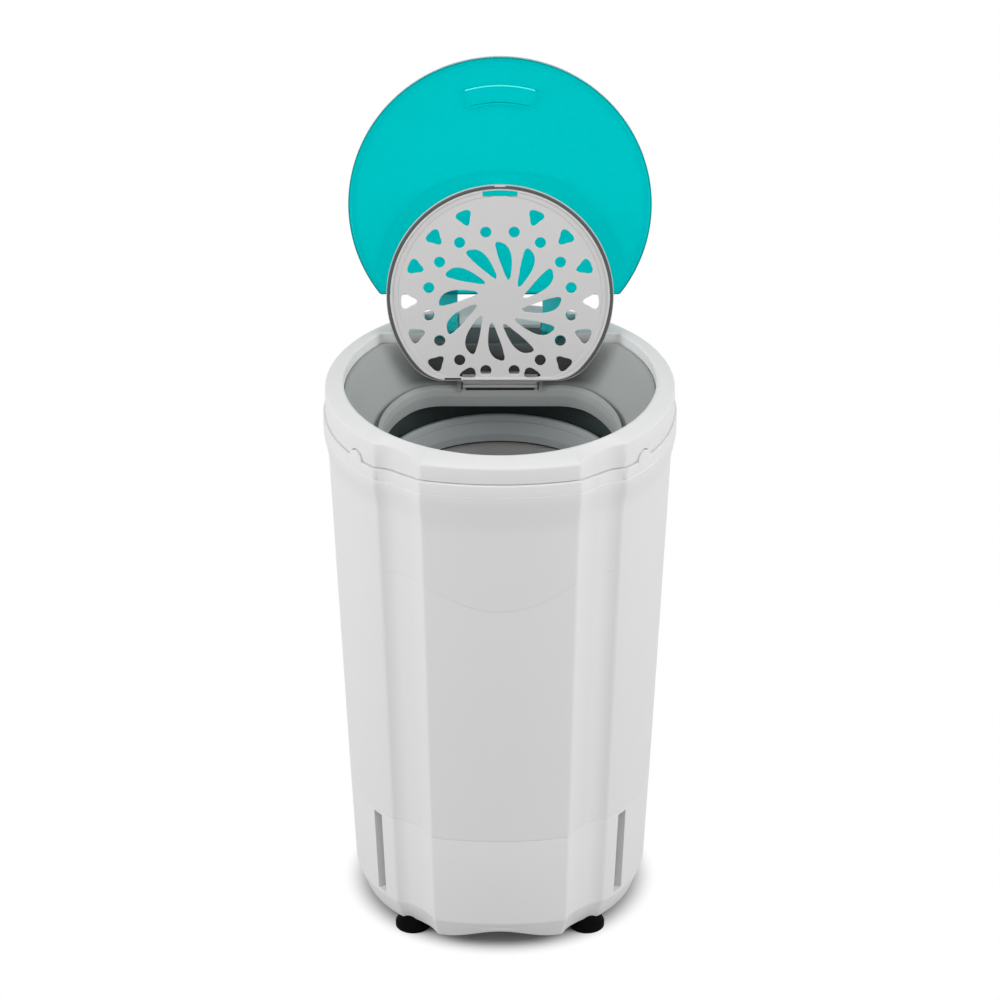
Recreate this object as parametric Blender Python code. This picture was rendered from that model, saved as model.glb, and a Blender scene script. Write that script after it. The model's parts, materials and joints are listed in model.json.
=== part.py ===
"""Spin dryer: a tapered plastic cabinet with a perforated basket inside, spun by a motor below it.

Metres, +Z up, the floor at height zero and the front towards -Y. Everything is built round the
spin axis, and the finished dryer then moves so that the middle of its footprint is at x = y = 0.
Both lids are modelled open, as the dryer stands when it is being loaded.
"""
import math

import bmesh
import bpy
from mathutils import Matrix, Vector

# Driving dimensions of the casing
RING_RADIUS = 0.1813
RING_EDGE_HEIGHT = 0.5995
RING_CROWN = 0.0060
RING_BAND = 0.0193
MOUTH_RADIUS = RING_RADIUS - RING_BAND
MOUTH_FLAT_INSET = 0.0580
MOUTH_CHORD = MOUTH_RADIUS - MOUTH_FLAT_INSET
MOUTH_CORNER = 0.0060
SEAM_DROP = 0.0185
SEAM_STEP = 0.0125
FRONT_SEAM_HEIGHT = RING_EDGE_HEIGHT - SEAM_DROP
SIDE_SEAM_HEIGHT = FRONT_SEAM_HEIGHT - SEAM_STEP
COLLAR_STEP = 0.0022
COLLAR_RADIUS = RING_RADIUS + COLLAR_STEP
WALL_TOP_DROP = 0.0420
WALL_TOP_HEIGHT = SIDE_SEAM_HEIGHT - WALL_TOP_DROP
WALL_STEP = 0.0053
WALL_TOP_RADIUS = COLLAR_RADIUS - WALL_STEP
BASE_SEAM_HEIGHT = 0.1430
WALL_TAPER = 0.0196
BASE_SEAM_RADIUS = WALL_TOP_RADIUS - WALL_TAPER
SKIRT_CREASE_HEIGHT = 0.0380
SKIRT_TAPER = 0.0059
SKIRT_CREASE_RADIUS = BASE_SEAM_RADIUS - SKIRT_TAPER
SKIRT_BOTTOM_HEIGHT = 0.0190
SKIRT_CHAMFER = 0.0052
SKIRT_BOTTOM_RADIUS = SKIRT_CREASE_RADIUS - SKIRT_CHAMFER
SKIRT_ARCH_RISE = 0.0055
SHELL_WALL = 0.0028

# Driving dimensions of the opening, the lids and the basket
FUNNEL_WIDTH = 0.0410
OPENING_RADIUS = MOUTH_RADIUS - FUNNEL_WIDTH
FUNNEL_FLAT_WIDTH = 0.0120
OPENING_CHORD = MOUTH_CHORD - FUNNEL_FLAT_WIDTH
OPENING_CORNER = 0.0450
LIP_DROP = 0.0562
LIP_TOP_HEIGHT = RING_EDGE_HEIGHT - LIP_DROP
NECK_DEPTH = 0.0186
NECK_BOTTOM_HEIGHT = LIP_TOP_HEIGHT - NECK_DEPTH
OUTER_LID_INSET = 0.0032
OUTER_LID_RADIUS = MOUTH_RADIUS - OUTER_LID_INSET
OUTER_LID_FLAT_INSET = 0.0067
OUTER_LID_CHORD = MOUTH_CHORD - OUTER_LID_FLAT_INSET
OUTER_LID_OPEN_DEG = 102.0
OUTER_PIVOT_REACH = 0.0313
OUTER_PIVOT_Y = MOUTH_CHORD + OUTER_PIVOT_REACH
OUTER_PIVOT_DROP = 0.0070
OUTER_PIVOT_HEIGHT = RING_EDGE_HEIGHT - OUTER_PIVOT_DROP
INNER_LID_INSET = 0.0023
INNER_LID_RADIUS = OPENING_RADIUS - INNER_LID_INSET
INNER_LID_FLAT_INSET = 0.0005
INNER_LID_CHORD = OPENING_CHORD - INNER_LID_FLAT_INSET
INNER_LID_CORNER_INSET = 0.0020
INNER_LID_CORNER = OPENING_CORNER - INNER_LID_CORNER_INSET
INNER_LID_OPEN_DEG = 104.0
INNER_PIVOT_REACH = 0.0035
INNER_PIVOT_Y = OPENING_CHORD + INNER_PIVOT_REACH
INNER_PIVOT_RISE = 0.0092
INNER_PIVOT_HEIGHT = LIP_TOP_HEIGHT + INNER_PIVOT_RISE
BASKET_MARGIN = 0.0037
BASKET_RADIUS = OPENING_RADIUS + BASKET_MARGIN
BASKET_WALL = 0.0012
BASKET_RIM_DROP = 0.0258
BASKET_RIM_HEIGHT = NECK_BOTTOM_HEIGHT - BASKET_RIM_DROP
TUB_WALL = 0.0030
TUB_GAP = 0.0138
TUB_RADIUS = BASKET_RADIUS + TUB_GAP + TUB_WALL
TUB_FLOOR_RISE = 0.0010
TUB_FLOOR_HEIGHT = BASE_SEAM_HEIGHT + TUB_FLOOR_RISE
TUB_RIM_GAP = 0.0025
TUB_RIM_HEIGHT = NECK_BOTTOM_HEIGHT - TUB_RIM_GAP
SHAFT_RADIUS = 0.0072

# Where the spin axis stands, seen from the middle of the footprint that includes the open lid
AXIS_Y = -0.0105

# Clearances and the overrun that every cut gets
FACE_GAP = 0.0003
SLIP_GAP = 0.0004
CUT_OVERRUN = 0.0100
UNION_BITE = 0.0010

# Facets
ROUND_STEPS = 36
MOTOR_STEPS = 24
SMALL_STEPS = 12
SCREW_STEPS = 8

# The casing's plan outline, in degrees from the front and shares of its radius
PANEL_EDGE_DEG = 25.0
FLUTE_EDGE_DEG = 46.0
ROUND_START_DEG = 52.0
PANEL_FRONT_SHARE = 1.005
PANEL_ARC_SHARE = 1.75
FLUTE_EDGE_SHARE = 1.01
FLUTE_DEPTH_SHARE = 0.0775
FLUTE_SQUARENESS = 4
FLUTE_STEP_SHARES = (0.08, 0.2, 0.5, 0.8, 0.92)
PANEL_STEPS = 6
SIDE_STEPS = 8
REAR_STEPS = 4

# Where the seam climbs beside the front panel, in degrees
SEAM_STEP_START_DEG = 25.5
SEAM_STEP_END_DEG = 33.0


def remove_everything():
    """Empty the scene, so that the script gives the same model each time."""
    for item in list(bpy.data.objects):
        bpy.data.objects.remove(item, do_unlink=True)


def material(name, colour, roughness, metallic=0.0, alpha=1.0):
    """A Principled BSDF material."""
    made = bpy.data.materials.new(name)
    made.use_nodes = True
    shader = made.node_tree.nodes["Principled BSDF"]
    shader.inputs["Base Color"].default_value = (*colour, 1.0)
    shader.inputs["Roughness"].default_value = roughness
    shader.inputs["Metallic"].default_value = metallic
    shader.inputs["Alpha"].default_value = alpha
    made.diffuse_color = (*colour, alpha)
    return made


def add_mesh(name, mesh_builder, finish, location=(0, 0, 0), rotation=(0, 0, 0), smooth=True):
    """Turn a bmesh into a named object with its material, normals outwards."""
    bmesh.ops.recalc_face_normals(mesh_builder, faces=mesh_builder.faces)
    mesh = bpy.data.meshes.new(name)
    mesh_builder.to_mesh(mesh)
    mesh_builder.free()
    if smooth:
        mesh.shade_smooth()
        mesh.set_sharp_from_angle(angle=math.radians(35))
    item = bpy.data.objects.new(name, mesh)
    item.location = location
    item.rotation_euler = rotation
    if finish is not None:
        mesh.materials.append(finish)
    bpy.context.collection.objects.link(item)
    return item


def loft(loops, closed=True, target=None):
    """Join loops of equally many points; a closed loft is a ring, an open one gets end caps."""
    shape = target or bmesh.new()
    rows = [[shape.verts.new(point) for point in loop] for loop in loops]
    pairs = list(zip(rows, rows[1:]))
    if closed:
        pairs.append((rows[-1], rows[0]))
    for lower, upper in pairs:
        count = len(lower)
        for index in range(count):
            following = (index + 1) % count
            shape.faces.new((lower[index], lower[following], upper[following], upper[index]))
    if not closed:
        shape.faces.new(rows[0])
        shape.faces.new(rows[-1])
    return shape


def turned(profile, steps=ROUND_STEPS, target=None):
    """Turn a closed profile of (radius, height) points round Z; points on the axis become poles."""
    shape = target or bmesh.new()
    rows = []
    for radius, height in profile:
        if radius == 0:
            rows.append([shape.verts.new((0, 0, height))])
            continue
        angles = [2 * math.pi * index / steps for index in range(steps)]
        rows.append([shape.verts.new((radius * math.cos(a), radius * math.sin(a), height)) for a in angles])
    for lower, upper in zip(rows, rows[1:] + rows[:1]):
        if len(lower) == 1 and len(upper) == 1:
            continue
        for index in range(steps):
            following = (index + 1) % steps
            corners = [lower[index % len(lower)], lower[following % len(lower)],
                       upper[following % len(upper)], upper[index % len(upper)]]
            unique = []
            for corner in corners:
                if corner not in unique:
                    unique.append(corner)
            shape.faces.new(unique)
    return shape


def rod_profile(radius, low, high):
    """A plain solid cylinder's profile."""
    return [(0, low), (radius, low), (radius, high), (0, high)]


def tube_profile(inner, outer, low, high):
    """A plain tube's profile."""
    return [(inner, low), (outer, low), (outer, high), (inner, high)]


def block(low, high, target=None):
    """A box between two corners."""
    shape = target or bmesh.new()
    centre = [(a + b) / 2 for a, b in zip(low, high)]
    size = [b - a for a, b in zip(low, high)]
    place = Matrix.Translation(centre) @ Matrix.Diagonal((*size, 1))
    bmesh.ops.create_cube(shape, size=1, matrix=place)
    return shape


def prism(outline, low, high, holes=()):
    """A flat outline, with holes, extruded from one height to another."""
    shape = bmesh.new()
    for height in (low, high):
        edges = []
        for path in (outline, *holes):
            corners = [shape.verts.new((x, y, height)) for x, y in path]
            edges += [shape.edges.new((corners[i - 1], corners[i])) for i in range(len(corners))]
        bmesh.ops.triangle_fill(shape, use_beauty=True, use_dissolve=False, edges=edges)
    shape.verts.ensure_lookup_table()
    start = 0
    total = sum(len(path) for path in (outline, *holes))
    for path in (outline, *holes):
        count = len(path)
        for index in range(count):
            following = (index + 1) % count
            corners = [shape.verts[start + index], shape.verts[start + following],
                       shape.verts[total + start + following], shape.verts[total + start + index]]
            shape.faces.new(corners)
        start += count
    return shape


def moved(shape, matrix):
    """Apply a matrix to a bmesh."""
    bmesh.ops.transform(shape, matrix=matrix, verts=shape.verts)
    return shape


def helper_object(name, shape, target):
    """An object that only shapes another one; it follows the target's place."""
    guide = add_mesh(name, shape, None, smooth=False)
    guide.location = target.location
    guide.rotation_euler = target.rotation_euler
    guide.hide_render = True
    guide.display_type = "WIRE"
    return guide


def combine(target, shape, operation):
    """Join or cut a bmesh, given in the target's own axes, with an exact Boolean."""
    count = len(target.modifiers)
    guide = helper_object(f"guide_{target.name}_{count}", shape, target)
    change = target.modifiers.new(f"{operation.lower()}_{count}", "BOOLEAN")
    change.operation = operation
    change.solver = "EXACT"
    change.object = guide


def join(target, shape):
    """Fuse a shape into the target."""
    combine(target, shape, "UNION")


def cut(target, shape):
    """Cut a shape out of the target."""
    combine(target, shape, "DIFFERENCE")


def upright(radius, x, y, low, high, steps=SMALL_STEPS):
    """A vertical cylinder away from the axis."""
    return moved(turned(rod_profile(radius, low, high), steps), Matrix.Translation((x, y, 0)))


def along_x(radius, low, high, y=0, z=0, steps=SMALL_STEPS):
    """A cylinder lying along X."""
    turn = Matrix.Translation((0, y, z)) @ Matrix.Rotation(math.radians(90), 4, "Y")
    return moved(turned(rod_profile(radius, low, high), steps), turn)


def toward_rear(x, z):
    """The matrix that lays what stands on the origin along +Y, at the given place."""
    return Matrix.Translation((x, 0, z)) @ Matrix.Rotation(math.radians(-90), 4, "X")


def along_y(profile, x, z, steps=SMALL_STEPS):
    """A turned profile whose heights run along +Y."""
    return moved(turned(profile, steps), toward_rear(x, z))


def casing_azimuths():
    """Directions round the casing, in degrees from the front, denser where its outline bends."""
    corner = 180 - math.degrees(math.acos(MOUTH_CHORD / MOUTH_RADIUS))
    right = [PANEL_EDGE_DEG * index / (PANEL_STEPS / 2) for index in range(int(PANEL_STEPS / 2) + 1)]
    flute = FLUTE_EDGE_DEG - PANEL_EDGE_DEG
    right += [PANEL_EDGE_DEG + flute * share for share in FLUTE_STEP_SHARES]
    right += [FLUTE_EDGE_DEG]
    side = corner - ROUND_START_DEG
    right += [ROUND_START_DEG + side * index / SIDE_STEPS for index in range(SIDE_STEPS + 1)]
    rear = 180 - corner
    right += [corner + rear * index / REAR_STEPS for index in range(1, REAR_STEPS + 1)]
    left = [-angle for angle in reversed(right[1:-1])]
    return right + left


AZIMUTHS = casing_azimuths()


def casing_share(azimuth):
    """The casing's outline radius as a share of its round radius."""
    angle = abs(azimuth)
    if angle <= PANEL_EDGE_DEG:
        return panel_share(angle)
    if angle <= FLUTE_EDGE_DEG:
        along = (angle - PANEL_EDGE_DEG) / (FLUTE_EDGE_DEG - PANEL_EDGE_DEG)
        edge = panel_share(PANEL_EDGE_DEG) * (1 - along) + FLUTE_EDGE_SHARE * along
        return edge - FLUTE_DEPTH_SHARE * (1 - abs(2 * along - 1) ** FLUTE_SQUARENESS)
    if angle <= ROUND_START_DEG:
        along = (angle - FLUTE_EDGE_DEG) / (ROUND_START_DEG - FLUTE_EDGE_DEG)
        return FLUTE_EDGE_SHARE * (1 - along) + along
    return 1.0


def panel_share(angle):
    """The front panel is a flatter arc than the rest of the casing."""
    centre = PANEL_ARC_SHARE - PANEL_FRONT_SHARE
    reach = centre * math.cos(math.radians(angle))
    return math.sqrt(reach ** 2 + PANEL_ARC_SHARE ** 2 - centre ** 2) - reach


def d_radius(azimuth, radius, chord, corner):
    """Distance from the axis to a circle with a flat rear side and rounded corners."""
    ray = Vector((math.sin(math.radians(azimuth)), -math.cos(math.radians(azimuth))))
    centre_y = chord - corner
    centre_x = math.sqrt((radius - corner) ** 2 - centre_y ** 2)
    flat_end = math.degrees(math.atan2(centre_x, -chord))
    arc_end = math.degrees(math.atan2(centre_x, -centre_y))
    angle = abs(azimuth)
    if angle <= arc_end:
        return radius
    if angle >= flat_end:
        return chord / ray.y
    centre = Vector((math.copysign(centre_x, azimuth), centre_y))
    along = ray.dot(centre)
    return along + math.sqrt(along ** 2 - centre.length_squared + corner ** 2)


def polar_point(azimuth, radius, height):
    """A point from its direction, its distance from the axis and its height."""
    angle = math.radians(azimuth)
    return (radius * math.sin(angle), -radius * math.cos(angle), height)


def height_at(height, azimuth):
    """A loop's height, which may be a number or change with the direction."""
    return height(azimuth) if callable(height) else height


def casing_loop(radius, height, inset=0.0):
    """A loop that follows the casing's fluted outline."""
    return [polar_point(a, radius * casing_share(a) - inset, height_at(height, a)) for a in AZIMUTHS]


def spread(breaks, steps):
    """Directions on both sides of the front, evenly spaced between the given ones."""
    right = [breaks[0]]
    for start, end, count in zip(breaks, breaks[1:], steps):
        right += [start + (end - start) * index / count for index in range(1, count + 1)]
    return right + [-angle for angle in reversed(right[1:-1])]


def circle_path(x, y, radius, steps=SMALL_STEPS):
    """A circle as a flat path of points."""
    angles = [2 * math.pi * index / steps for index in range(steps)]
    return [(x + radius * math.cos(a), y + radius * math.sin(a)) for a in angles]


def round_loop(radius, height, azimuths=None):
    """A round loop with the same directions as the casing's."""
    return [polar_point(a, radius, height_at(height, a)) for a in azimuths or AZIMUTHS]


def d_loop(radius, chord, corner, height, azimuths=None):
    """A loop with a flat rear side."""
    return [polar_point(a, d_radius(a, radius, chord, corner), height) for a in azimuths or AZIMUTHS]


def seam_height(azimuth):
    """The seam between ring and cabinet climbs across each flute to the front panel."""
    angle = abs(azimuth)
    along = (angle - SEAM_STEP_START_DEG) / (SEAM_STEP_END_DEG - SEAM_STEP_START_DEG)
    along = min(1, max(0, along))
    return FRONT_SEAM_HEIGHT + (SIDE_SEAM_HEIGHT - FRONT_SEAM_HEIGHT) * along


def below_seam(depth):
    """A height function that keeps a distance below the seam."""
    return lambda azimuth: seam_height(azimuth) - depth


def wall_radius(height):
    """The cabinet's tapered wall."""
    along = (height - BASE_SEAM_HEIGHT) / (WALL_TOP_HEIGHT - BASE_SEAM_HEIGHT)
    return BASE_SEAM_RADIUS + (WALL_TOP_RADIUS - BASE_SEAM_RADIUS) * along


def skirt_radius(height):
    """The base skirt's tapered wall, set in a little under the cabinet's."""
    top = BASE_SEAM_RADIUS - SKIRT_INSET
    along = (height - SKIRT_CREASE_HEIGHT) / (BASE_SEAM_HEIGHT - SKIRT_CREASE_HEIGHT)
    return SKIRT_CREASE_RADIUS + (top - SKIRT_CREASE_RADIUS) * along


def skirt_bottom(azimuth):
    """The skirt's lower edge, arched a little under the front panel."""
    along = min(1, abs(azimuth) / ARCH_HALF_DEG)
    return SKIRT_BOTTOM_HEIGHT + SKIRT_ARCH_RISE * math.cos(along * math.pi / 2) ** 2


# Finishes
remove_everything()
WHITE_PLASTIC = material("white_plastic", (0.78, 0.78, 0.77), 0.45)
GREY_PLASTIC = material("grey_plastic", (0.42, 0.43, 0.43), 0.5)
TEAL_CLEAR = material("teal_clear_plastic", (0.0, 0.55, 0.55), 0.12, alpha=0.85)
LID_GREY = material("lid_grey_plastic", (0.6, 0.6, 0.6), 0.45)
DARK_RUBBER = material("dark_rubber", (0.02, 0.02, 0.02), 0.8)
STEEL = material("steel", (0.6, 0.6, 0.6), 0.3, metallic=1.0)
CAST_ALLOY = material("cast_alloy", (0.5, 0.5, 0.5), 0.5, metallic=1.0)
LAMINATION = material("lamination_steel", (0.25, 0.25, 0.26), 0.55, metallic=1.0)
COPPER = material("enamelled_copper", (0.5, 0.2, 0.08), 0.4, metallic=1.0)
BLACK_PLASTIC = material("black_plastic", (0.03, 0.03, 0.03), 0.5)

# Base plate and feet
SKIRT_INSET = 0.0008
ARCH_HALF_DEG = 16.0
FOOT_SIDE_INSET = 0.0555
FOOT_X = SKIRT_BOTTOM_RADIUS - FOOT_SIDE_INSET
FOOT_END_INSET = 0.0545
FOOT_Y = SKIRT_BOTTOM_RADIUS - FOOT_END_INSET
FOOT_RADIUS = 0.0185
FOOT_NECK_RADIUS = 0.0110
FOOT_POST_RADIUS = 0.0070
FOOT_PAD_HEIGHT = 0.0070
FOOT_SHOULDER_HEIGHT = 0.0185
FOOT_CHAMFER = 0.0012
FOOT_TOP_HEIGHT = 0.0212
FOOT_BORE = 0.0024
FOOT_COUNTERBORE = 0.0055
FOOT_RECESS_HEIGHT = 0.0060
PLATE_BOTTOM = FOOT_TOP_HEIGHT + FACE_GAP
PLATE_THICKNESS = 0.0030
PLATE_TOP = PLATE_BOTTOM + PLATE_THICKNESS
PLATE_INSET = 0.0035
SCREW_SHANK_RADIUS = 0.0020
SCREW_HEAD_RADIUS = 0.0045
SCREW_HEAD_HEIGHT = 0.0024
MOUNT_CIRCLE = 0.0820
MOUNT_BOLT_RADIUS = 0.0030
MOUNT_DEGS = (90.0, 210.0, 330.0)
MOUNT_BOLT_END = PLATE_BOTTOM - SLIP_GAP
VENT_RADIUS = 0.0300
FLANGE_WIDTH = 0.0275
FLANGE_INNER_RADIUS = SKIRT_BOTTOM_RADIUS - FLANGE_WIDTH
FLANGE_THICKNESS = 0.0030
FOOT_SCREW_END = PLATE_TOP + 2 * FLANGE_THICKNESS


def circle_places(radius, degrees):
    """Points on a circle, by directions from the front."""
    return [polar_point(angle, radius, 0)[:2] for angle in degrees]


FOOT_PLACES = {
    "front_left": (-FOOT_X, -FOOT_Y), "front_right": (FOOT_X, -FOOT_Y),
    "rear_left": (-FOOT_X, FOOT_Y), "rear_right": (FOOT_X, FOOT_Y),
}
MOUNT_PLACES = dict(zip(("right", "rear_left", "front_left"), circle_places(MOUNT_CIRCLE, MOUNT_DEGS)))


def make_feet():
    """Four round rubber feet, each with the screw that holds it, the base plate and the skirt together."""
    profile = [
        (FOOT_COUNTERBORE, 0), (FOOT_RADIUS - FOOT_CHAMFER, 0), (FOOT_RADIUS, FOOT_CHAMFER),
        (FOOT_RADIUS, FOOT_PAD_HEIGHT), (FOOT_NECK_RADIUS, FOOT_SHOULDER_HEIGHT),
        (FOOT_POST_RADIUS, FOOT_SHOULDER_HEIGHT), (FOOT_POST_RADIUS, FOOT_TOP_HEIGHT),
        (FOOT_BORE, FOOT_TOP_HEIGHT),
        (FOOT_BORE, FOOT_RECESS_HEIGHT), (FOOT_COUNTERBORE, FOOT_RECESS_HEIGHT),
    ]
    for word, (x, y) in FOOT_PLACES.items():
        add_mesh(f"foot_{word}", turned(profile, SMALL_STEPS), DARK_RUBBER, (x, y, 0))
        add_screw(f"foot_screw_{word}", (x, y), FOOT_RECESS_HEIGHT - SCREW_HEAD_HEIGHT - FACE_GAP,
                  FOOT_SCREW_END)


def add_screw(name, place, head_face, tip, shank=SCREW_SHANK_RADIUS, head=SCREW_HEAD_RADIUS,
              head_height=SCREW_HEAD_HEIGHT):
    """A steel screw from the outer face of its head to its tip, pointing up or down."""
    seat = head_face + math.copysign(head_height, tip - head_face)
    profile = [(0, head_face), (head, head_face), (head, seat), (shank, seat), (shank, tip), (0, tip)]
    return add_mesh(name, turned(profile, SCREW_STEPS), STEEL, (*place, 0))


def make_base_plate():
    """The floor of the machine, which carries the motor mounts."""
    outline = [(x, y) for x, y, _ in casing_loop(SKIRT_BOTTOM_RADIUS, PLATE_TOP, PLATE_INSET)]
    holes = [circle_path(0, 0, VENT_RADIUS, ROUND_STEPS)]
    holes += [circle_path(x, y, FOOT_BORE) for x, y in FOOT_PLACES.values()]
    holes += [circle_path(x, y, MOUNT_BOLT_RADIUS + SLIP_GAP) for x, y in MOUNT_PLACES.values()]
    add_mesh("base_plate", prism(outline, PLATE_BOTTOM, PLATE_TOP, holes), GREY_PLASTIC)


# Base skirt
LIP_HEIGHT = 0.0080
LIP_INSET = SHELL_WALL + SLIP_GAP
LIP_WALL = 0.0022
SHELF_THICKNESS = 0.0030
SHELF_SEAT = 0.0125
SHELF_INNER_RADIUS = TUB_RADIUS - SHELF_SEAT
SHELF_TOP = TUB_FLOOR_HEIGHT - FACE_GAP
GROOVE_DEG = 55.5
GROOVE_WIDTH = 0.0135
GROOVE_DEPTH = 0.0060
GROOVE_TOP = 0.1390
GROOVE_BOTTOM = 0.0420
GROOVE_WALL = 0.0024
ROD_X = 0.0550
ROD_RADIUS = 0.0022
ROD_HOLE_RADIUS = 0.0035
GLAND_HEIGHT = 0.0750
GLAND_BODY_RADIUS = 0.0080
GLAND_FLANGE_RADIUS = 0.0115
GLAND_FLANGE_THICKNESS = 0.0030
GLAND_NUT_RADIUS = 0.0105
GLAND_NUT_THICKNESS = 0.0045
GLAND_NUT_GAP = 0.0015
GLAND_BORE = 0.0038
GLAND_SNOUT_RADIUS = 0.0065
GLAND_SNOUT_LENGTH = 0.0080
DRAIN_INSET = 0.0675
DRAIN_Y = TUB_RADIUS - DRAIN_INSET
DRAIN_X = -DRAIN_Y
DRAIN_DROP = 0.0380
DRAIN_HEIGHT = TUB_FLOOR_HEIGHT - DRAIN_DROP
DRAIN_STUB_RADIUS = 0.0155
DRAIN_STUB_BORE = 0.0130
DRAIN_STUB_LENGTH = 0.0120
DRAIN_TUBE_RADIUS = 0.0125
DRAIN_TUBE_WALL = 0.0020
DRAIN_BEND_RADIUS = 0.0180
DRAIN_STAND = 0.0034
DRAIN_END_Y = BASE_SEAM_RADIUS + DRAIN_STAND
DRAIN_BEND_STEPS = 5


def side_prism(outline, low_x, high_x):
    """A (y, z) outline extruded along X."""
    turn = Matrix(((0, 0, 1, 0), (1, 0, 0, 0), (0, 1, 0, 0), (0, 0, 0, 1)))
    return moved(prism(outline, low_x, high_x), turn)


def groove_block(side, width, deep, shallow, low, high):
    """A block that leans with the skirt's wall, between two depths below its surface."""
    outline = [(deep - skirt_radius(low), low), (shallow - skirt_radius(low), low),
               (shallow - skirt_radius(high), high), (deep - skirt_radius(high), high)]
    shape = side_prism(outline, -width / 2, width / 2)
    return moved(shape, Matrix.Rotation(math.radians(side * GROOVE_DEG), 4, "Z"))


def make_base_skirt():
    """The lowest part of the casing: bottom flange inside, a shelf for the tub and a lip for the cabinet."""
    flange_bottom = PLATE_TOP + FACE_GAP
    inner_wall = SKIRT_BOTTOM_RADIUS + (SKIRT_CREASE_RADIUS - SKIRT_BOTTOM_RADIUS) / 2
    shelf_bottom = SHELF_TOP - SHELF_THICKNESS
    wall_top = BASE_SEAM_HEIGHT - FACE_GAP
    top = skirt_radius(BASE_SEAM_HEIGHT)
    lip_top = BASE_SEAM_HEIGHT + LIP_HEIGHT
    lip_outer = BASE_SEAM_RADIUS
    shape = loft([
        casing_loop(top, wall_top),
        casing_loop(SKIRT_CREASE_RADIUS, SKIRT_CREASE_HEIGHT),
        casing_loop(SKIRT_BOTTOM_RADIUS, skirt_bottom),
        casing_loop(SKIRT_BOTTOM_RADIUS, skirt_bottom, SHELL_WALL),
        casing_loop(SKIRT_BOTTOM_RADIUS, flange_bottom, SHELL_WALL),
        round_loop(FLANGE_INNER_RADIUS, flange_bottom),
        round_loop(FLANGE_INNER_RADIUS, flange_bottom + FLANGE_THICKNESS),
        casing_loop(inner_wall, flange_bottom + FLANGE_THICKNESS, SHELL_WALL),
        casing_loop(skirt_radius(SKIRT_CREASE_HEIGHT), SKIRT_CREASE_HEIGHT, SHELL_WALL),
        casing_loop(skirt_radius(shelf_bottom), shelf_bottom, SHELL_WALL),
        round_loop(SHELF_INNER_RADIUS, shelf_bottom),
        round_loop(SHELF_INNER_RADIUS, SHELF_TOP),
        casing_loop(lip_outer, SHELF_TOP, LIP_INSET + LIP_WALL),
        casing_loop(lip_outer, lip_top, LIP_INSET + LIP_WALL),
        casing_loop(lip_outer, lip_top, LIP_INSET),
        casing_loop(lip_outer, wall_top, LIP_INSET),
    ])
    skirt = add_mesh("base_skirt", shape, WHITE_PLASTIC)
    for side in (-1, 1):
        join(skirt, groove_block(side, GROOVE_WIDTH + 2 * GROOVE_WALL, GROOVE_DEPTH + GROOVE_WALL, UNION_BITE,
                                 GROOVE_BOTTOM - GROOVE_WALL, shelf_bottom + SHELF_THICKNESS / 2))
        cut(skirt, groove_block(side, GROOVE_WIDTH, GROOVE_DEPTH, -CUT_OVERRUN, GROOVE_BOTTOM, GROOVE_TOP))
    cut(skirt, upright(ROD_HOLE_RADIUS, ROD_X, OUTER_PIVOT_Y, shelf_bottom - CUT_OVERRUN,
                       SHELF_TOP + CUT_OVERRUN))
    for x, y in FOOT_PLACES.values():
        cut(skirt, upright(SCREW_SHANK_RADIUS + SLIP_GAP, x, y, flange_bottom - CUT_OVERRUN,
                           flange_bottom + FLANGE_THICKNESS + CUT_OVERRUN))
    wall = skirt_radius(GLAND_HEIGHT)
    bore = rod_profile(GLAND_BODY_RADIUS + SLIP_GAP, wall - CUT_OVERRUN, wall + CUT_OVERRUN)
    cut(skirt, along_y(bore, 0, GLAND_HEIGHT))
    bore = rod_profile(DRAIN_TUBE_RADIUS + SLIP_GAP, DRAIN_Y + DRAIN_BEND_RADIUS,
                       BASE_SEAM_RADIUS + CUT_OVERRUN)
    cut(skirt, along_y(bore, DRAIN_X, DRAIN_HEIGHT))
    make_cord_gland()


def make_cord_gland():
    """The gland through which the mains lead enters at the back, with its nut inside the wall."""
    outside = skirt_radius(GLAND_HEIGHT + GLAND_FLANGE_RADIUS) + FACE_GAP
    inside = skirt_radius(GLAND_HEIGHT - GLAND_NUT_RADIUS) - SHELL_WALL - GLAND_NUT_GAP
    body = [
        (GLAND_BORE, inside - GLAND_NUT_THICKNESS - FACE_GAP),
        (GLAND_BODY_RADIUS, inside - GLAND_NUT_THICKNESS - FACE_GAP),
        (GLAND_BODY_RADIUS, outside), (GLAND_FLANGE_RADIUS, outside),
        (GLAND_FLANGE_RADIUS, outside + GLAND_FLANGE_THICKNESS),
        (GLAND_SNOUT_RADIUS, outside + GLAND_FLANGE_THICKNESS),
        (GLAND_SNOUT_RADIUS, outside + GLAND_FLANGE_THICKNESS + GLAND_SNOUT_LENGTH),
        (GLAND_BORE, outside + GLAND_FLANGE_THICKNESS + GLAND_SNOUT_LENGTH),
    ]
    add_mesh("cord_gland", along_y(body, 0, GLAND_HEIGHT), BLACK_PLASTIC)
    nut = prism(circle_path(0, 0, GLAND_NUT_RADIUS, 6), inside - GLAND_NUT_THICKNESS, inside,
                [circle_path(0, 0, GLAND_BODY_RADIUS + FACE_GAP)])
    add_mesh("cord_gland_nut", moved(nut, toward_rear(0, GLAND_HEIGHT)), BLACK_PLASTIC, smooth=False)


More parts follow.
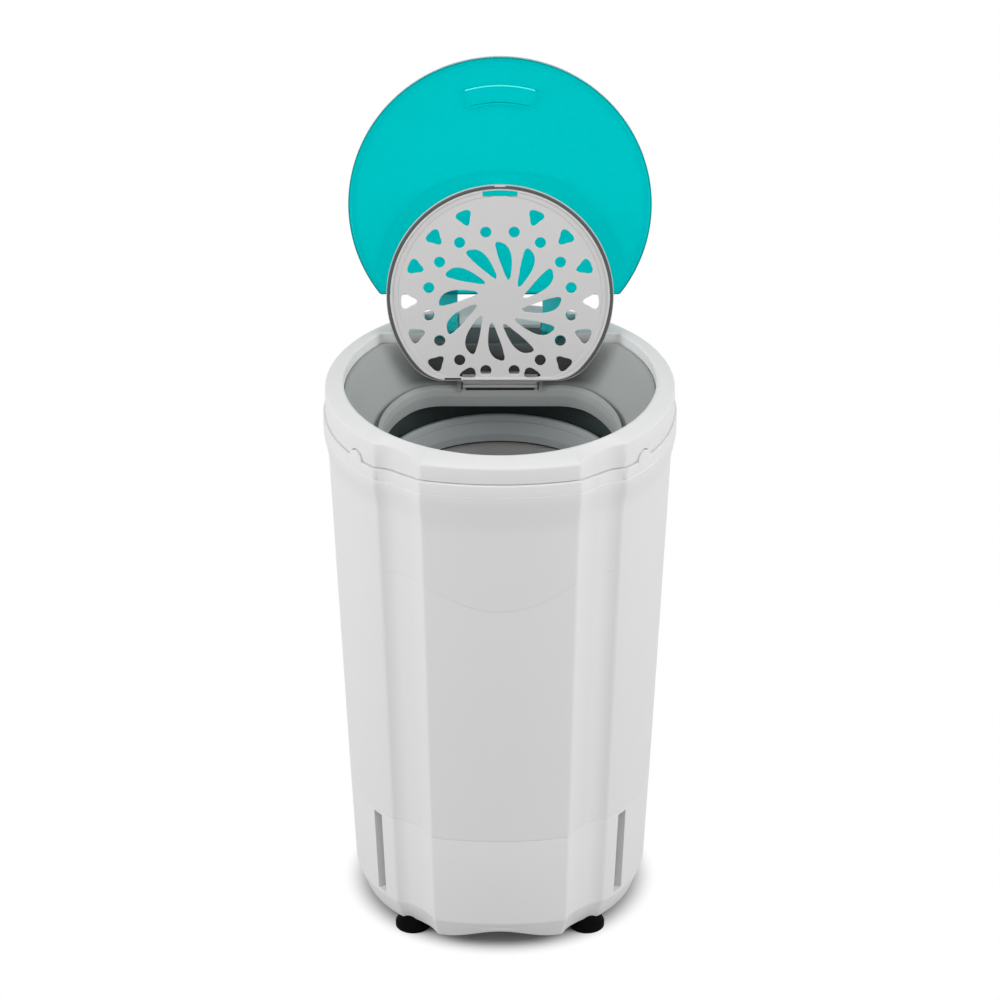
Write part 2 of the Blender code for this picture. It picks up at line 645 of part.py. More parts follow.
def make_drain():
    """The outlet elbow: down from the tub's floor, round a bend and out through the back."""
    top = TUB_FLOOR_HEIGHT - UNION_BITE
    corner = DRAIN_HEIGHT + DRAIN_BEND_RADIUS
    path = [(0, top), (0, corner)]
    for index in range(1, DRAIN_BEND_STEPS + 1):
        angle = math.pi / 2 * index / DRAIN_BEND_STEPS
        path.append((DRAIN_BEND_RADIUS * (1 - math.cos(angle)), corner - DRAIN_BEND_RADIUS * math.sin(angle)))
    path.append((DRAIN_END_Y - DRAIN_Y, DRAIN_HEIGHT))
    loops = []
    inner = DRAIN_TUBE_RADIUS - DRAIN_TUBE_WALL
    for radius, points in ((DRAIN_TUBE_RADIUS, path), (inner, path[::-1])):
        for index, (y, z) in enumerate(points):
            before = Vector(points[max(index - 1, 0)])
            after = Vector(points[min(index + 1, len(points) - 1)])
            run = (after - before).normalized()
            side = Vector((-run.y, run.x)) if radius == DRAIN_TUBE_RADIUS else Vector((run.y, -run.x))
            loop = []
            for step in range(SMALL_STEPS):
                angle = 2 * math.pi * step / SMALL_STEPS
                flat = Vector((y, z)) + side * radius * math.sin(angle)
                loop.append((DRAIN_X + radius * math.cos(angle), DRAIN_Y + flat.x, flat.y))
            loops.append(loop)
    add_mesh("drain_elbow", loft(loops), BLACK_PLASTIC)


# Cabinet
COLLAR_BAND = 0.0140
COLLAR_SIDE_DEPTH = 0.0230
COLLAR_SIDE_INSET = 0.0004
CABINET_TOP_INNER = RING_RADIUS - SHELL_WALL
CABINET_STEP_DROP = 0.0300


def make_cabinet():
    """The tall tapered shell, with the collar band under the seam."""
    bottom = BASE_SEAM_HEIGHT
    shape = loft([
        casing_loop(COLLAR_RADIUS, below_seam(FACE_GAP)),
        casing_loop(COLLAR_RADIUS, below_seam(COLLAR_BAND)),
        casing_loop(COLLAR_RADIUS - COLLAR_SIDE_INSET, below_seam(COLLAR_SIDE_DEPTH)),
        casing_loop(WALL_TOP_RADIUS, WALL_TOP_HEIGHT),
        casing_loop(BASE_SEAM_RADIUS, bottom),
        casing_loop(BASE_SEAM_RADIUS, bottom, SHELL_WALL),
        casing_loop(WALL_TOP_RADIUS, WALL_TOP_HEIGHT, SHELL_WALL),
        casing_loop(CABINET_TOP_INNER, below_seam(CABINET_STEP_DROP)),
        casing_loop(CABINET_TOP_INNER, below_seam(FACE_GAP)),
    ])
    add_mesh("cabinet", shape, WHITE_PLASTIC)


# Top ring with its hinge pockets
RING_EDGE_ROUND = 0.0015
RING_SHOULDER_INSET = 0.0060
RING_SHOULDER_RISE = 0.0028
RING_SKIN = 0.0030
RING_MOUTH_ROUND = 0.0012
LEDGE_DROP = 0.0080
LEDGE_TOP = RING_EDGE_HEIGHT - LEDGE_DROP
LEDGE_THICKNESS = 0.0025
LEDGE_REACH = 0.0021
SPIGOT_DEPTH = 0.0100
SPIGOT_WALL = 0.0028
POCKET_HALF_WIDTH = 0.0790
POCKET_REAR_REACH = 0.0112
POCKET_REAR_Y = OUTER_PIVOT_Y - POCKET_REAR_REACH
POCKET_DEPTH = 0.0170
POCKET_FLOOR = OUTER_PIVOT_HEIGHT - POCKET_DEPTH
POCKET_WALL = 0.0030
ARM_SLOT_INNER_X = 0.0425
ARM_SLOT_REACH = 0.0172
ARM_SLOT_REAR_Y = OUTER_PIVOT_Y + ARM_SLOT_REACH
PIN_RADIUS = 0.0022
PIN_SEAT = 0.0050
BLOCK_HALF_WIDTH = POCKET_HALF_WIDTH + PIN_SEAT + 2 * POCKET_WALL


def make_top_ring():
    """The ring round the mouth: a shell with a ledge for the deck and pockets for the lid's arms."""
    edge = RING_EDGE_HEIGHT
    crown = edge + RING_CROWN
    spigot = CABINET_TOP_INNER - SLIP_GAP
    skin = MOUTH_RADIUS + RING_SKIN
    skin_chord = MOUTH_CHORD + RING_SKIN
    shape = loft([
        casing_loop(RING_RADIUS, below_seam(0)),
        casing_loop(RING_RADIUS, edge - RING_EDGE_ROUND),
        casing_loop(RING_RADIUS - RING_EDGE_ROUND, edge),
        casing_loop(RING_RADIUS - RING_SHOULDER_INSET, edge + RING_SHOULDER_RISE),
        d_loop(skin, skin_chord, MOUTH_CORNER, crown),
        d_loop(MOUTH_RADIUS, MOUTH_CHORD, MOUTH_CORNER, crown - RING_MOUTH_ROUND),
        d_loop(MOUTH_RADIUS, MOUTH_CHORD, MOUTH_CORNER, LEDGE_TOP),
        d_loop(MOUTH_RADIUS - LEDGE_REACH, MOUTH_CHORD - LEDGE_REACH, MOUTH_CORNER, LEDGE_TOP),
        d_loop(MOUTH_RADIUS - LEDGE_REACH, MOUTH_CHORD - LEDGE_REACH, MOUTH_CORNER,
               LEDGE_TOP - LEDGE_THICKNESS),
        d_loop(skin, skin_chord, MOUTH_CORNER, LEDGE_TOP - LEDGE_THICKNESS),
        d_loop(skin, skin_chord, MOUTH_CORNER, crown - 2 * RING_SKIN),
        casing_loop(RING_RADIUS - RING_SHOULDER_INSET, edge - RING_SKIN),
        casing_loop(spigot, below_seam(0), SPIGOT_WALL),
        casing_loop(spigot, below_seam(SPIGOT_DEPTH), SPIGOT_WALL),
        casing_loop(spigot, below_seam(SPIGOT_DEPTH)),
        casing_loop(spigot, below_seam(0)),
    ])
    ring = add_mesh("top_ring", shape, WHITE_PLASTIC)
    rear = ARM_SLOT_REAR_Y + POCKET_WALL
    join(ring, block((-BLOCK_HALF_WIDTH, MOUTH_CHORD + RING_SKIN / 2, POCKET_FLOOR - POCKET_WALL),
                     (BLOCK_HALF_WIDTH, rear, edge)))
    pocket = [(POCKET_HALF_WIDTH, MOUTH_CHORD - CUT_OVERRUN), (POCKET_HALF_WIDTH, ARM_SLOT_REAR_Y),
              (ARM_SLOT_INNER_X, ARM_SLOT_REAR_Y), (ARM_SLOT_INNER_X, POCKET_REAR_Y)]
    pocket += [(-x, y) for x, y in reversed(pocket)]
    cut(ring, prism(pocket, POCKET_FLOOR, crown + CUT_OVERRUN))
    for side in (-1, 1):
        cut(ring, along_x(PIN_RADIUS + SLIP_GAP, *pin_ends(side, SLIP_GAP), OUTER_PIVOT_Y,
                          OUTER_PIVOT_HEIGHT))
    cut(ring, upright(ROD_RADIUS + SLIP_GAP, ROD_X, OUTER_PIVOT_Y, POCKET_FLOOR - CUT_OVERRUN,
                      POCKET_FLOOR + CUT_OVERRUN / 2))


def pin_ends(side, extra=0.0):
    """Where a lid pin starts and ends along X."""
    near = side * (ARM_SLOT_INNER_X - PIN_SEAT - extra)
    far = side * (POCKET_HALF_WIDTH + PIN_SEAT + extra)
    return sorted((near, far))


# Grey deck with the opening's lip
FLANGE_HEIGHT = LEDGE_TOP + FACE_GAP
FLANGE_STEP = 0.0027
FLANGE_CLEARANCE = 0.0014
FUNNEL_RIM_INSET = 0.0056
FUNNEL_CHORD_INSET = 0.0046
DECK_WALL = 0.0022
FUNNEL_FOOT_OFFSET = 0.0075
FUNNEL_FOOT_RADIUS = OPENING_RADIUS + FUNNEL_FOOT_OFFSET
FUNNEL_FOOT_CHORD = OPENING_CHORD + FUNNEL_FOOT_OFFSET
LIP_STAND = 0.0038
FUNNEL_FOOT_HEIGHT = LIP_TOP_HEIGHT - LIP_STAND
LIP_OUTER_OFFSET = 0.0046
LIP_ROUND = 0.0006
LIP_BEVEL_REACH = 0.0018
LIP_BEVEL_DROP = 0.0065
NECK_WALL = 0.0025
HINGE_GAP_HALF_WIDTH = 0.0405
HINGE_EAR_WIDTH = 0.0045
HINGE_EAR_RADIUS = 0.0042
EAR_FOOT_SHARE = 0.9
INNER_PIN_RADIUS = 0.0015
TAB_CLEARANCE = 0.0010
FUNNEL_MID_SHARE = 0.5
FUNNEL_SAG = 0.0020
DECK_BREAK_DEGS = (0.0, 110.0, 155.0, 180.0)
DECK_BREAK_STEPS = (10, 8, 2)
DECK_AZIMUTHS = spread(DECK_BREAK_DEGS, DECK_BREAK_STEPS)


def make_deck():
    """The grey funnel under the ring: flange, slope, raised lip and the neck of the opening."""
    flange_radius = MOUTH_RADIUS - FLANGE_CLEARANCE
    flange_chord = MOUTH_CHORD - FLANGE_CLEARANCE
    rim_radius = MOUTH_RADIUS - FUNNEL_RIM_INSET
    rim_chord = MOUTH_CHORD - FUNNEL_CHORD_INSET
    lip_radius = OPENING_RADIUS + LIP_OUTER_OFFSET
    lip_chord = OPENING_CHORD + LIP_OUTER_OFFSET
    lip_corner = OPENING_CORNER + LIP_OUTER_OFFSET
    bevel_height = LIP_TOP_HEIGHT - LIP_BEVEL_DROP
    neck_radius = OPENING_RADIUS + NECK_WALL
    neck_chord = OPENING_CHORD + NECK_WALL
    neck_corner = OPENING_CORNER + NECK_WALL
    middle = FUNNEL_MID_SHARE
    middle_radius = rim_radius * middle + FUNNEL_FOOT_RADIUS * middle
    middle_chord = rim_chord * middle + FUNNEL_FOOT_CHORD * middle
    middle_corner = MOUTH_CORNER * middle + lip_corner * middle
    middle_height = (FLANGE_HEIGHT + FUNNEL_FOOT_HEIGHT) * middle - FUNNEL_SAG
    under = FUNNEL_FOOT_HEIGHT - DECK_WALL
    sections = [
        (flange_radius, flange_chord, MOUTH_CORNER, FLANGE_HEIGHT),
        (flange_radius, flange_chord, MOUTH_CORNER, FLANGE_HEIGHT + FLANGE_STEP),
        (rim_radius, rim_chord, MOUTH_CORNER, FLANGE_HEIGHT + FLANGE_STEP),
        (middle_radius, middle_chord, middle_corner, middle_height),
        (FUNNEL_FOOT_RADIUS, FUNNEL_FOOT_CHORD, lip_corner, FUNNEL_FOOT_HEIGHT),
        (lip_radius, lip_chord, lip_corner, FUNNEL_FOOT_HEIGHT),
        (lip_radius, lip_chord, lip_corner, LIP_TOP_HEIGHT - LIP_ROUND),
        (lip_radius - LIP_ROUND, lip_chord - LIP_ROUND, lip_corner - LIP_ROUND, LIP_TOP_HEIGHT),
        (OPENING_RADIUS + LIP_BEVEL_REACH, OPENING_CHORD + LIP_BEVEL_REACH,
         OPENING_CORNER + LIP_BEVEL_REACH, LIP_TOP_HEIGHT),
        (OPENING_RADIUS, OPENING_CHORD, OPENING_CORNER, bevel_height),
        (OPENING_RADIUS, OPENING_CHORD, OPENING_CORNER, NECK_BOTTOM_HEIGHT),
        (neck_radius, neck_chord, neck_corner, NECK_BOTTOM_HEIGHT),
        (neck_radius, neck_chord, neck_corner, under),
        (FUNNEL_FOOT_RADIUS, FUNNEL_FOOT_CHORD + DECK_WALL, lip_corner, under),
        (middle_radius + DECK_WALL, middle_chord + DECK_WALL, middle_corner, middle_height - DECK_WALL),
        (rim_radius + DECK_WALL, rim_chord + DECK_WALL, MOUTH_CORNER, FLANGE_HEIGHT),
    ]
    shape = loft([d_loop(*section, DECK_AZIMUTHS) for section in sections])
    deck = add_mesh("inner_deck", shape, GREY_PLASTIC)
    foot_reach = HINGE_EAR_RADIUS * EAR_FOOT_SHARE
    for side in (-1, 1):
        ends = sorted((side * HINGE_GAP_HALF_WIDTH, side * (HINGE_GAP_HALF_WIDTH + HINGE_EAR_WIDTH)))
        join(deck, along_x(HINGE_EAR_RADIUS, *ends, INNER_PIVOT_Y, INNER_PIVOT_HEIGHT))
        join(deck, block((ends[0], INNER_PIVOT_Y - foot_reach, LIP_TOP_HEIGHT - UNION_BITE),
                         (ends[1], INNER_PIVOT_Y + foot_reach, INNER_PIVOT_HEIGHT)))
    pad_top = INNER_PIVOT_HEIGHT - KNUCKLE_RADIUS - TAB_CLEARANCE
    pad_end = HINGE_GAP_HALF_WIDTH + UNION_BITE
    join(deck, block((-pad_end, OPENING_CHORD + LIP_ROUND, LIP_TOP_HEIGHT - 2 * UNION_BITE),
                     (pad_end, INNER_PIVOT_Y + KNUCKLE_RADIUS / 2, pad_top)))
    cut(deck, along_x(INNER_PIN_RADIUS + SLIP_GAP, -HINGE_GAP_HALF_WIDTH - HINGE_EAR_WIDTH - CUT_OVERRUN,
                      HINGE_GAP_HALF_WIDTH + HINGE_EAR_WIDTH + CUT_OVERRUN, INNER_PIVOT_Y,
                      INNER_PIVOT_HEIGHT))


# Inner lid: a plate with swirled petals, round holes and rounded triangles
KNUCKLE_RADIUS = 0.0030
INNER_LID_DROP = 0.0115
LID_PLATE_HALF = 0.0014
LID_RIM_HALF = 0.0036
LID_RIM_WIDTH = 0.0026
RIM_OVERLAP = 0.0001
GASKET_WIDTH = 0.0042
GASKET_HALF = 0.0030
TAB_THICKNESS = 0.0028
PATTERN_SHIFT = 0.0078
PETAL_COUNT = 12
PETAL_REACH = 0.0610
PETAL_ALONG_SHARES = (0.38, 0.35, 0.37, 0.51, 0.68, 0.82, 0.91, 0.97, 1.0, 0.98)
PETAL_ACROSS_SHARES = (0.10, 0.14, 0.17, 0.19, 0.20, 0.19, 0.15, 0.09, 0.0, -0.10)
HOLE_COUNT = 16
HOLE_CIRCLE = 0.0752
HOLE_RADIUS = 0.0058
HOLE_STEPS = 8
TRIANGLE_CIRCLE = 0.0930
TRIANGLE_HALF = 0.0078
TRIANGLE_STEP_DEG = 22.5
TRIANGLE_LAST_DEG = 135.0
TRIANGLE_CORNER_SHARE = 0.24
SLOT_X = 0.0339
SLOT_Y = 0.0730
SLOT_HALF_WIDTH = 0.0074
SLOT_HALF_HEIGHT = 0.0032
SLOT_TOP_SHARE = 0.35
WINDOW_HALF_WIDTH = 0.0178
WINDOW_REAR = 0.0138
WINDOW_STEPS = 4
INNER_LID_BREAK_DEGS = (0.0, 100.0, 150.0, 180.0)
INNER_LID_BREAK_STEPS = (11, 8, 2)
INNER_LID_AZIMUTHS = spread(INNER_LID_BREAK_DEGS, INNER_LID_BREAK_STEPS)


def petal(direction):
    """One petal as points round the pattern's middle: a straight edge and a swelling one."""
    points = []
    angle = math.radians(direction)
    for along_share, across_share in zip(PETAL_ALONG_SHARES, PETAL_ACROSS_SHARES):
        along = PETAL_REACH * along_share
        across = PETAL_REACH * across_share
        points.append((along * math.sin(angle) + across * math.cos(angle),
                       -along * math.cos(angle) + across * math.sin(angle)))
    return points


def round_hole(direction):
    """One round hole of the ring of holes."""
    x, y, _ = polar_point(direction, HOLE_CIRCLE, 0)
    angles = [2 * math.pi * step / HOLE_STEPS for step in range(HOLE_STEPS)]
    return [(x + HOLE_RADIUS * math.cos(a), y + HOLE_RADIUS * math.sin(a)) for a in angles]


def triangle(direction):
    """One rounded triangle, pointing at the pattern's middle."""
    angle = math.radians(direction)
    outer = TRIANGLE_CIRCLE + TRIANGLE_HALF
    corners = [Vector((-TRIANGLE_HALF, outer)), Vector((TRIANGLE_HALF, outer)),
               Vector((0, TRIANGLE_CIRCLE - TRIANGLE_HALF))]
    points = []
    for index, corner in enumerate(corners):
        for other in (corners[index - 1], corners[(index + 1) % 3]):
            flat = corner.lerp(other, TRIANGLE_CORNER_SHARE)
            points.append((flat.x * math.cos(angle) + flat.y * math.sin(angle),
                           flat.x * math.sin(angle) - flat.y * math.cos(angle)))
    return points


def lid_pattern(centre_y):
    """All openings of the inner lid, round a middle a little behind the lid's own."""
    paths = [petal(360.0 * index / PETAL_COUNT) for index in range(PETAL_COUNT)]
    paths += [round_hole(360.0 * (index + 0.5) / HOLE_COUNT) for index in range(HOLE_COUNT)]
    steps = int(TRIANGLE_LAST_DEG / TRIANGLE_STEP_DEG)
    for side in (-1, 1):
        paths += [triangle(side * TRIANGLE_STEP_DEG * index) for index in range(1, steps + 1)]
        top = SLOT_HALF_WIDTH * SLOT_TOP_SHARE
        middle = side * SLOT_X
        paths.append([(middle - SLOT_HALF_WIDTH, SLOT_Y + SLOT_HALF_HEIGHT),
                      (middle + SLOT_HALF_WIDTH, SLOT_Y + SLOT_HALF_HEIGHT),
                      (middle + top, SLOT_Y - SLOT_HALF_HEIGHT), (middle - top, SLOT_Y - SLOT_HALF_HEIGHT)])
    return [[(x, y + centre_y + PATTERN_SHIFT) for x, y in path] for path in paths]


def latch_window(radius, centre_y):
    """The opening behind the rim's front, where the lid's latch sits."""
    reach = math.asin(WINDOW_HALF_WIDTH / radius)
    angles = [reach * (2 * index / WINDOW_STEPS - 1) for index in range(WINDOW_STEPS + 1)]
    front = [(radius * math.sin(a), centre_y - radius * math.cos(a)) for a in angles]
    rear = centre_y - INNER_LID_RADIUS + WINDOW_REAR
    return front + [(WINDOW_HALF_WIDTH, rear), (-WINDOW_HALF_WIDTH, rear)]


def lid_loop(radius, chord, corner, height, centre_y, azimuths=None):
    """A lid's outline at one height, placed from its own middle."""
    return [(x, y + centre_y, z)
            for x, y, z in d_loop(radius, chord, corner, height, azimuths or INNER_LID_AZIMUTHS)]


def d_band(inner, outer, low, high, centre_y):
    """A flat band between two outlines of the inner lid, each given as radius, chord and corner."""
    return loft([lid_loop(*inner, low, centre_y), lid_loop(*outer, low, centre_y),
                 lid_loop(*outer, high, centre_y), lid_loop(*inner, high, centre_y)])


def make_inner_lid():
    """The perforated lid over the opening, with its gasket, hinge tab and pin."""
    centre_y = -INNER_PIVOT_Y
    middle = -INNER_LID_DROP
    place = (0, INNER_PIVOT_Y, INNER_PIVOT_HEIGHT)
    turn = (math.radians(-INNER_LID_OPEN_DEG), 0, 0)
    rim_outer = INNER_LID_RADIUS - GASKET_WIDTH
    rim_chord = INNER_LID_CHORD - GASKET_WIDTH
    rim_corner = INNER_LID_CORNER - GASKET_WIDTH
    plate_outline = [(x, y) for x, y, _ in lid_loop(rim_outer, rim_chord, rim_corner, 0, centre_y)]
    holes = lid_pattern(centre_y)
    holes.append(latch_window(rim_outer - LID_RIM_WIDTH / 2, centre_y))
    plate = prism(plate_outline, middle - LID_PLATE_HALF, middle + LID_PLATE_HALF, holes)
    lid = add_mesh("inner_lid", plate, LID_GREY, place, turn)
    rim_inner = rim_outer - LID_RIM_WIDTH
    join(lid, d_band((rim_inner, rim_chord - LID_RIM_WIDTH, rim_corner - LID_RIM_WIDTH),
                     (rim_outer + RIM_OVERLAP, rim_chord + RIM_OVERLAP, rim_corner),
                     middle - LID_RIM_HALF, middle + LID_RIM_HALF, centre_y))
    tab_half = HINGE_GAP_HALF_WIDTH - TAB_CLEARANCE
    root = centre_y + rim_chord - TAB_THICKNESS - FACE_GAP
    tab_top = TAB_THICKNESS - KNUCKLE_RADIUS
    tab = [(root, middle), (root + TAB_THICKNESS, middle), (root + TAB_THICKNESS, -KNUCKLE_RADIUS),
           (0, -KNUCKLE_RADIUS), (0, tab_top), (root, tab_top)]
    join(lid, side_prism(tab, -tab_half, tab_half))
    join(lid, along_x(KNUCKLE_RADIUS, -tab_half + UNION_BITE / 2, tab_half - UNION_BITE / 2))
    cut(lid, along_x(INNER_PIN_RADIUS + FACE_GAP, -tab_half - CUT_OVERRUN, tab_half + CUT_OVERRUN))
    inset = GASKET_WIDTH - RIM_OVERLAP - FACE_GAP
    gasket = d_band((INNER_LID_RADIUS - inset, INNER_LID_CHORD - inset, INNER_LID_CORNER - inset),
                    (INNER_LID_RADIUS, INNER_LID_CHORD, INNER_LID_CORNER),
                    middle - GASKET_HALF, middle + GASKET_HALF, centre_y)
    add_mesh("inner_lid_gasket", gasket, DARK_RUBBER, place, turn)
    pin_half = HINGE_GAP_HALF_WIDTH + HINGE_EAR_WIDTH
    add_mesh("inner_lid_pin", along_x(INNER_PIN_RADIUS, -pin_half, pin_half), STEEL,
             (0, INNER_PIVOT_Y, INNER_PIVOT_HEIGHT))


# Outer lid: a clear disc with a turned-down rim, a finger recess and two hinge arms
OUTER_LID_CORNER = 0.0050
OUTER_PLATE_BOTTOM = 0.0065
OUTER_PLATE_TOP = 0.0095
OUTER_RIM_BOTTOM = 0.0026
OUTER_RIM_WIDTH = 0.0030
OUTER_EDGE_ROUND = 0.0012
GRIP_OUTER_RADIUS = 0.1270
GRIP_INNER_RADIUS = 0.1095
GRIP_HALF_DEG = 16.5
GRIP_FLOOR = 0.0050
GRIP_WALL = 0.0020
GRIP_STEPS = 8
ARM_INNER_X = 0.0445
ARM_OUTER_X = 0.0705
ARM_BITE = 0.0030
ARM_ROOT_Y = -0.0100
ARM_ROOT_BOTTOM = 0.0030
ARM_KNUCKLE_RADIUS = 0.0085
ARM_SIDE_CLEARANCE = 0.0010
CAM_HALF_WIDTH = 0.0050
CAM_RADIUS = 0.0115
CAM_OFFSET = 0.0030
CAM_GAP = 0.0007
OUTER_LID_BREAK_DEGS = (0.0, 124.0, 131.0, 180.0)
OUTER_LID_BREAK_STEPS = (15, 4, 2)
OUTER_LID_AZIMUTHS = spread(OUTER_LID_BREAK_DEGS, OUTER_LID_BREAK_STEPS)


def sector(inner, outer, half_deg, low, high, centre_y):
    """A piece of a flat ring in front of a centre."""
    angles = [math.radians(half_deg * (2 * index / GRIP_STEPS - 1)) for index in range(GRIP_STEPS + 1)]
    outline = [(outer * math.sin(a), centre_y - outer * math.cos(a)) for a in angles]
    outline += [(inner * math.sin(a), centre_y - inner * math.cos(a)) for a in reversed(angles)]
    return prism(outline, low, high)


def make_outer_lid():
    """The clear lid, its arms and their pins."""
    centre_y = -OUTER_PIVOT_Y
    sections = [
        (OUTER_RIM_WIDTH, OUTER_PLATE_BOTTOM), (OUTER_RIM_WIDTH, OUTER_RIM_BOTTOM), (0, OUTER_RIM_BOTTOM),
        (0, OUTER_PLATE_TOP - OUTER_EDGE_ROUND), (OUTER_EDGE_ROUND, OUTER_PLATE_TOP),
    ]
    loops = [lid_loop(OUTER_LID_RADIUS - inset, OUTER_LID_CHORD - inset, OUTER_LID_CORNER, height, centre_y,
                      OUTER_LID_AZIMUTHS)
             for inset, height in sections]
    lid = add_mesh("outer_lid", loft(loops, closed=False), TEAL_CLEAR, (0, OUTER_PIVOT_Y, OUTER_PIVOT_HEIGHT),
                   (math.radians(-OUTER_LID_OPEN_DEG), 0, 0))
    grip_deg = GRIP_HALF_DEG + math.degrees(GRIP_WALL / GRIP_INNER_RADIUS)
    join(lid, sector(GRIP_INNER_RADIUS - GRIP_WALL, GRIP_OUTER_RADIUS + GRIP_WALL, grip_deg,
                     GRIP_FLOOR - GRIP_WALL, OUTER_PLATE_BOTTOM + UNION_BITE, centre_y))
    cut(lid, sector(GRIP_INNER_RADIUS, GRIP_OUTER_RADIUS, GRIP_HALF_DEG, GRIP_FLOOR,
                    OUTER_PLATE_TOP + CUT_OVERRUN, centre_y))
    chord_y = centre_y + OUTER_LID_CHORD
    outline = [
        (chord_y - ARM_BITE, OUTER_PLATE_BOTTOM + FACE_GAP), (ARM_ROOT_Y, ARM_ROOT_BOTTOM),
        (ARM_ROOT_Y / 2, 0), (0, 0), (0, ARM_KNUCKLE_RADIUS - FACE_GAP),
        (ARM_ROOT_Y / 2, OUTER_PLATE_TOP - FACE_GAP), (chord_y - ARM_BITE, OUTER_PLATE_TOP - FACE_GAP),
    ]
    for side in (-1, 1):
        ends = sorted((side * ARM_INNER_X, side * ARM_OUTER_X))
        join(lid, side_prism(outline, *ends))
        ends = sorted((side * (ARM_SLOT_INNER_X + ARM_SIDE_CLEARANCE),
                       side * (POCKET_HALF_WIDTH - ARM_SIDE_CLEARANCE)))
        join(lid, along_x(ARM_KNUCKLE_RADIUS, *ends))
    closed_turn = math.radians(OUTER_LID_OPEN_DEG)
    join(lid, along_x(CAM_RADIUS, ROD_X - CAM_HALF_WIDTH, ROD_X + CAM_HALF_WIDTH,
                      CAM_OFFSET * math.sin(closed_turn), -CAM_OFFSET * math.cos(closed_turn), MOTOR_STEPS))
    cut(lid, along_x(PIN_RADIUS + FACE_GAP, -BLOCK_HALF_WIDTH, BLOCK_HALF_WIDTH))
    for side, word in ((-1, "left"), (1, "right")):
        add_mesh(f"outer_lid_pin_{word}", along_x(PIN_RADIUS, *pin_ends(side)), STEEL,
                 (0, OUTER_PIVOT_Y, OUTER_PIVOT_HEIGHT))


# Interlock: a rod that the lid's cam pushes down, the lid switch and the brake lever
LEVER_PIVOT_REACH = 0.0445
LEVER_PIVOT_HEIGHT = 0.1390
LEVER_END_DROP = 0.0110
LEVER_END_REACH = 0.0040
LEVER_BAR_HALF = 0.0025
LEVER_HALF_WIDTH = 0.0040
LEVER_BACK = 0.0056
LEVER_ARM_FRONT = 0.0010
LEVER_ARM_LENGTH = 0.0165
LEVER_HUB = 0.0035
BRAKE_PAD_HEIGHT = 0.0100
BRAKE_PAD_THICKNESS = 0.0045
DRUM_RADIUS = 0.0340
EAR_HALF_LENGTH = 0.0045
EAR_WIDTH = 0.0030
ROD_COLLAR_RADIUS = 0.0034
ROD_COLLAR_DROP = 0.0305
ROD_COLLAR_BOTTOM = POCKET_FLOOR - ROD_COLLAR_DROP
ROD_COLLAR_LENGTH = 0.0065
ROD_COLLAR_SHOULDER = ROD_COLLAR_BOTTOM + ROD_COLLAR_LENGTH
ROD_CONE_LENGTH = 0.0030
ROD_CONE_TOP = ROD_COLLAR_SHOULDER + ROD_CONE_LENGTH
SWITCH_LENGTH = 0.0195
SWITCH_HALF_DEPTH = 0.0070
SWITCH_HEIGHT = 0.0242
SWITCH_STANDOFF = 0.0033
PLUNGER_RADIUS = 0.0015
PLUNGER_RISE = 0.0015
PLUNGER_HEIGHT = ROD_CONE_TOP + PLUNGER_RISE
PLUNGER_LENGTH = 0.0104
PLUNGER_BORE_LENGTH = 0.0095
GUIDE_HEIGHT = 0.3400
GUIDE_THICKNESS = 0.0080
GUIDE_HALF_WIDTH = 0.0060
GUIDE_BEYOND_ROD = 0.0045

ROD_REACH = math.hypot(ROD_X, OUTER_PIVOT_Y)
GUIDE_END_REACH = ROD_REACH + GUIDE_BEYOND_ROD
ROD_AZIMUTH = math.degrees(math.atan2(ROD_X, -OUTER_PIVOT_Y))
ROD_TURN = Matrix.Rotation(math.radians(ROD_AZIMUTH), 4, "Z")


def lever_outline():
    """The bell crank from the side: distance from the axis and height, both from its pivot."""
    run = ROD_REACH - LEVER_PIVOT_REACH
    slope = -LEVER_END_DROP / run
    tip = run + LEVER_END_REACH
    return [
        (-LEVER_BACK, -LEVER_ARM_LENGTH), (-LEVER_ARM_FRONT, -LEVER_ARM_LENGTH),
        (-LEVER_ARM_FRONT, -LEVER_HUB), (LEVER_HUB, LEVER_HUB * slope - LEVER_BAR_HALF),
        (tip, tip * slope - LEVER_BAR_HALF), (tip, tip * slope + LEVER_BAR_HALF),
        (LEVER_HUB, LEVER_HUB * slope + LEVER_BAR_HALF), (LEVER_HUB, LEVER_HUB), (-LEVER_BACK, LEVER_HUB),
    ]


def radial_prism(outline, half_width):
    """A (distance, height) outline, made thick to both sides of the direction of azimuth zero."""
    turn = Matrix(((0, 0, -1, 0), (-1, 0, 0, 0), (0, 1, 0, 0), (0, 0, 0, 1)))
    return moved(prism(outline, -half_width, half_width), turn)


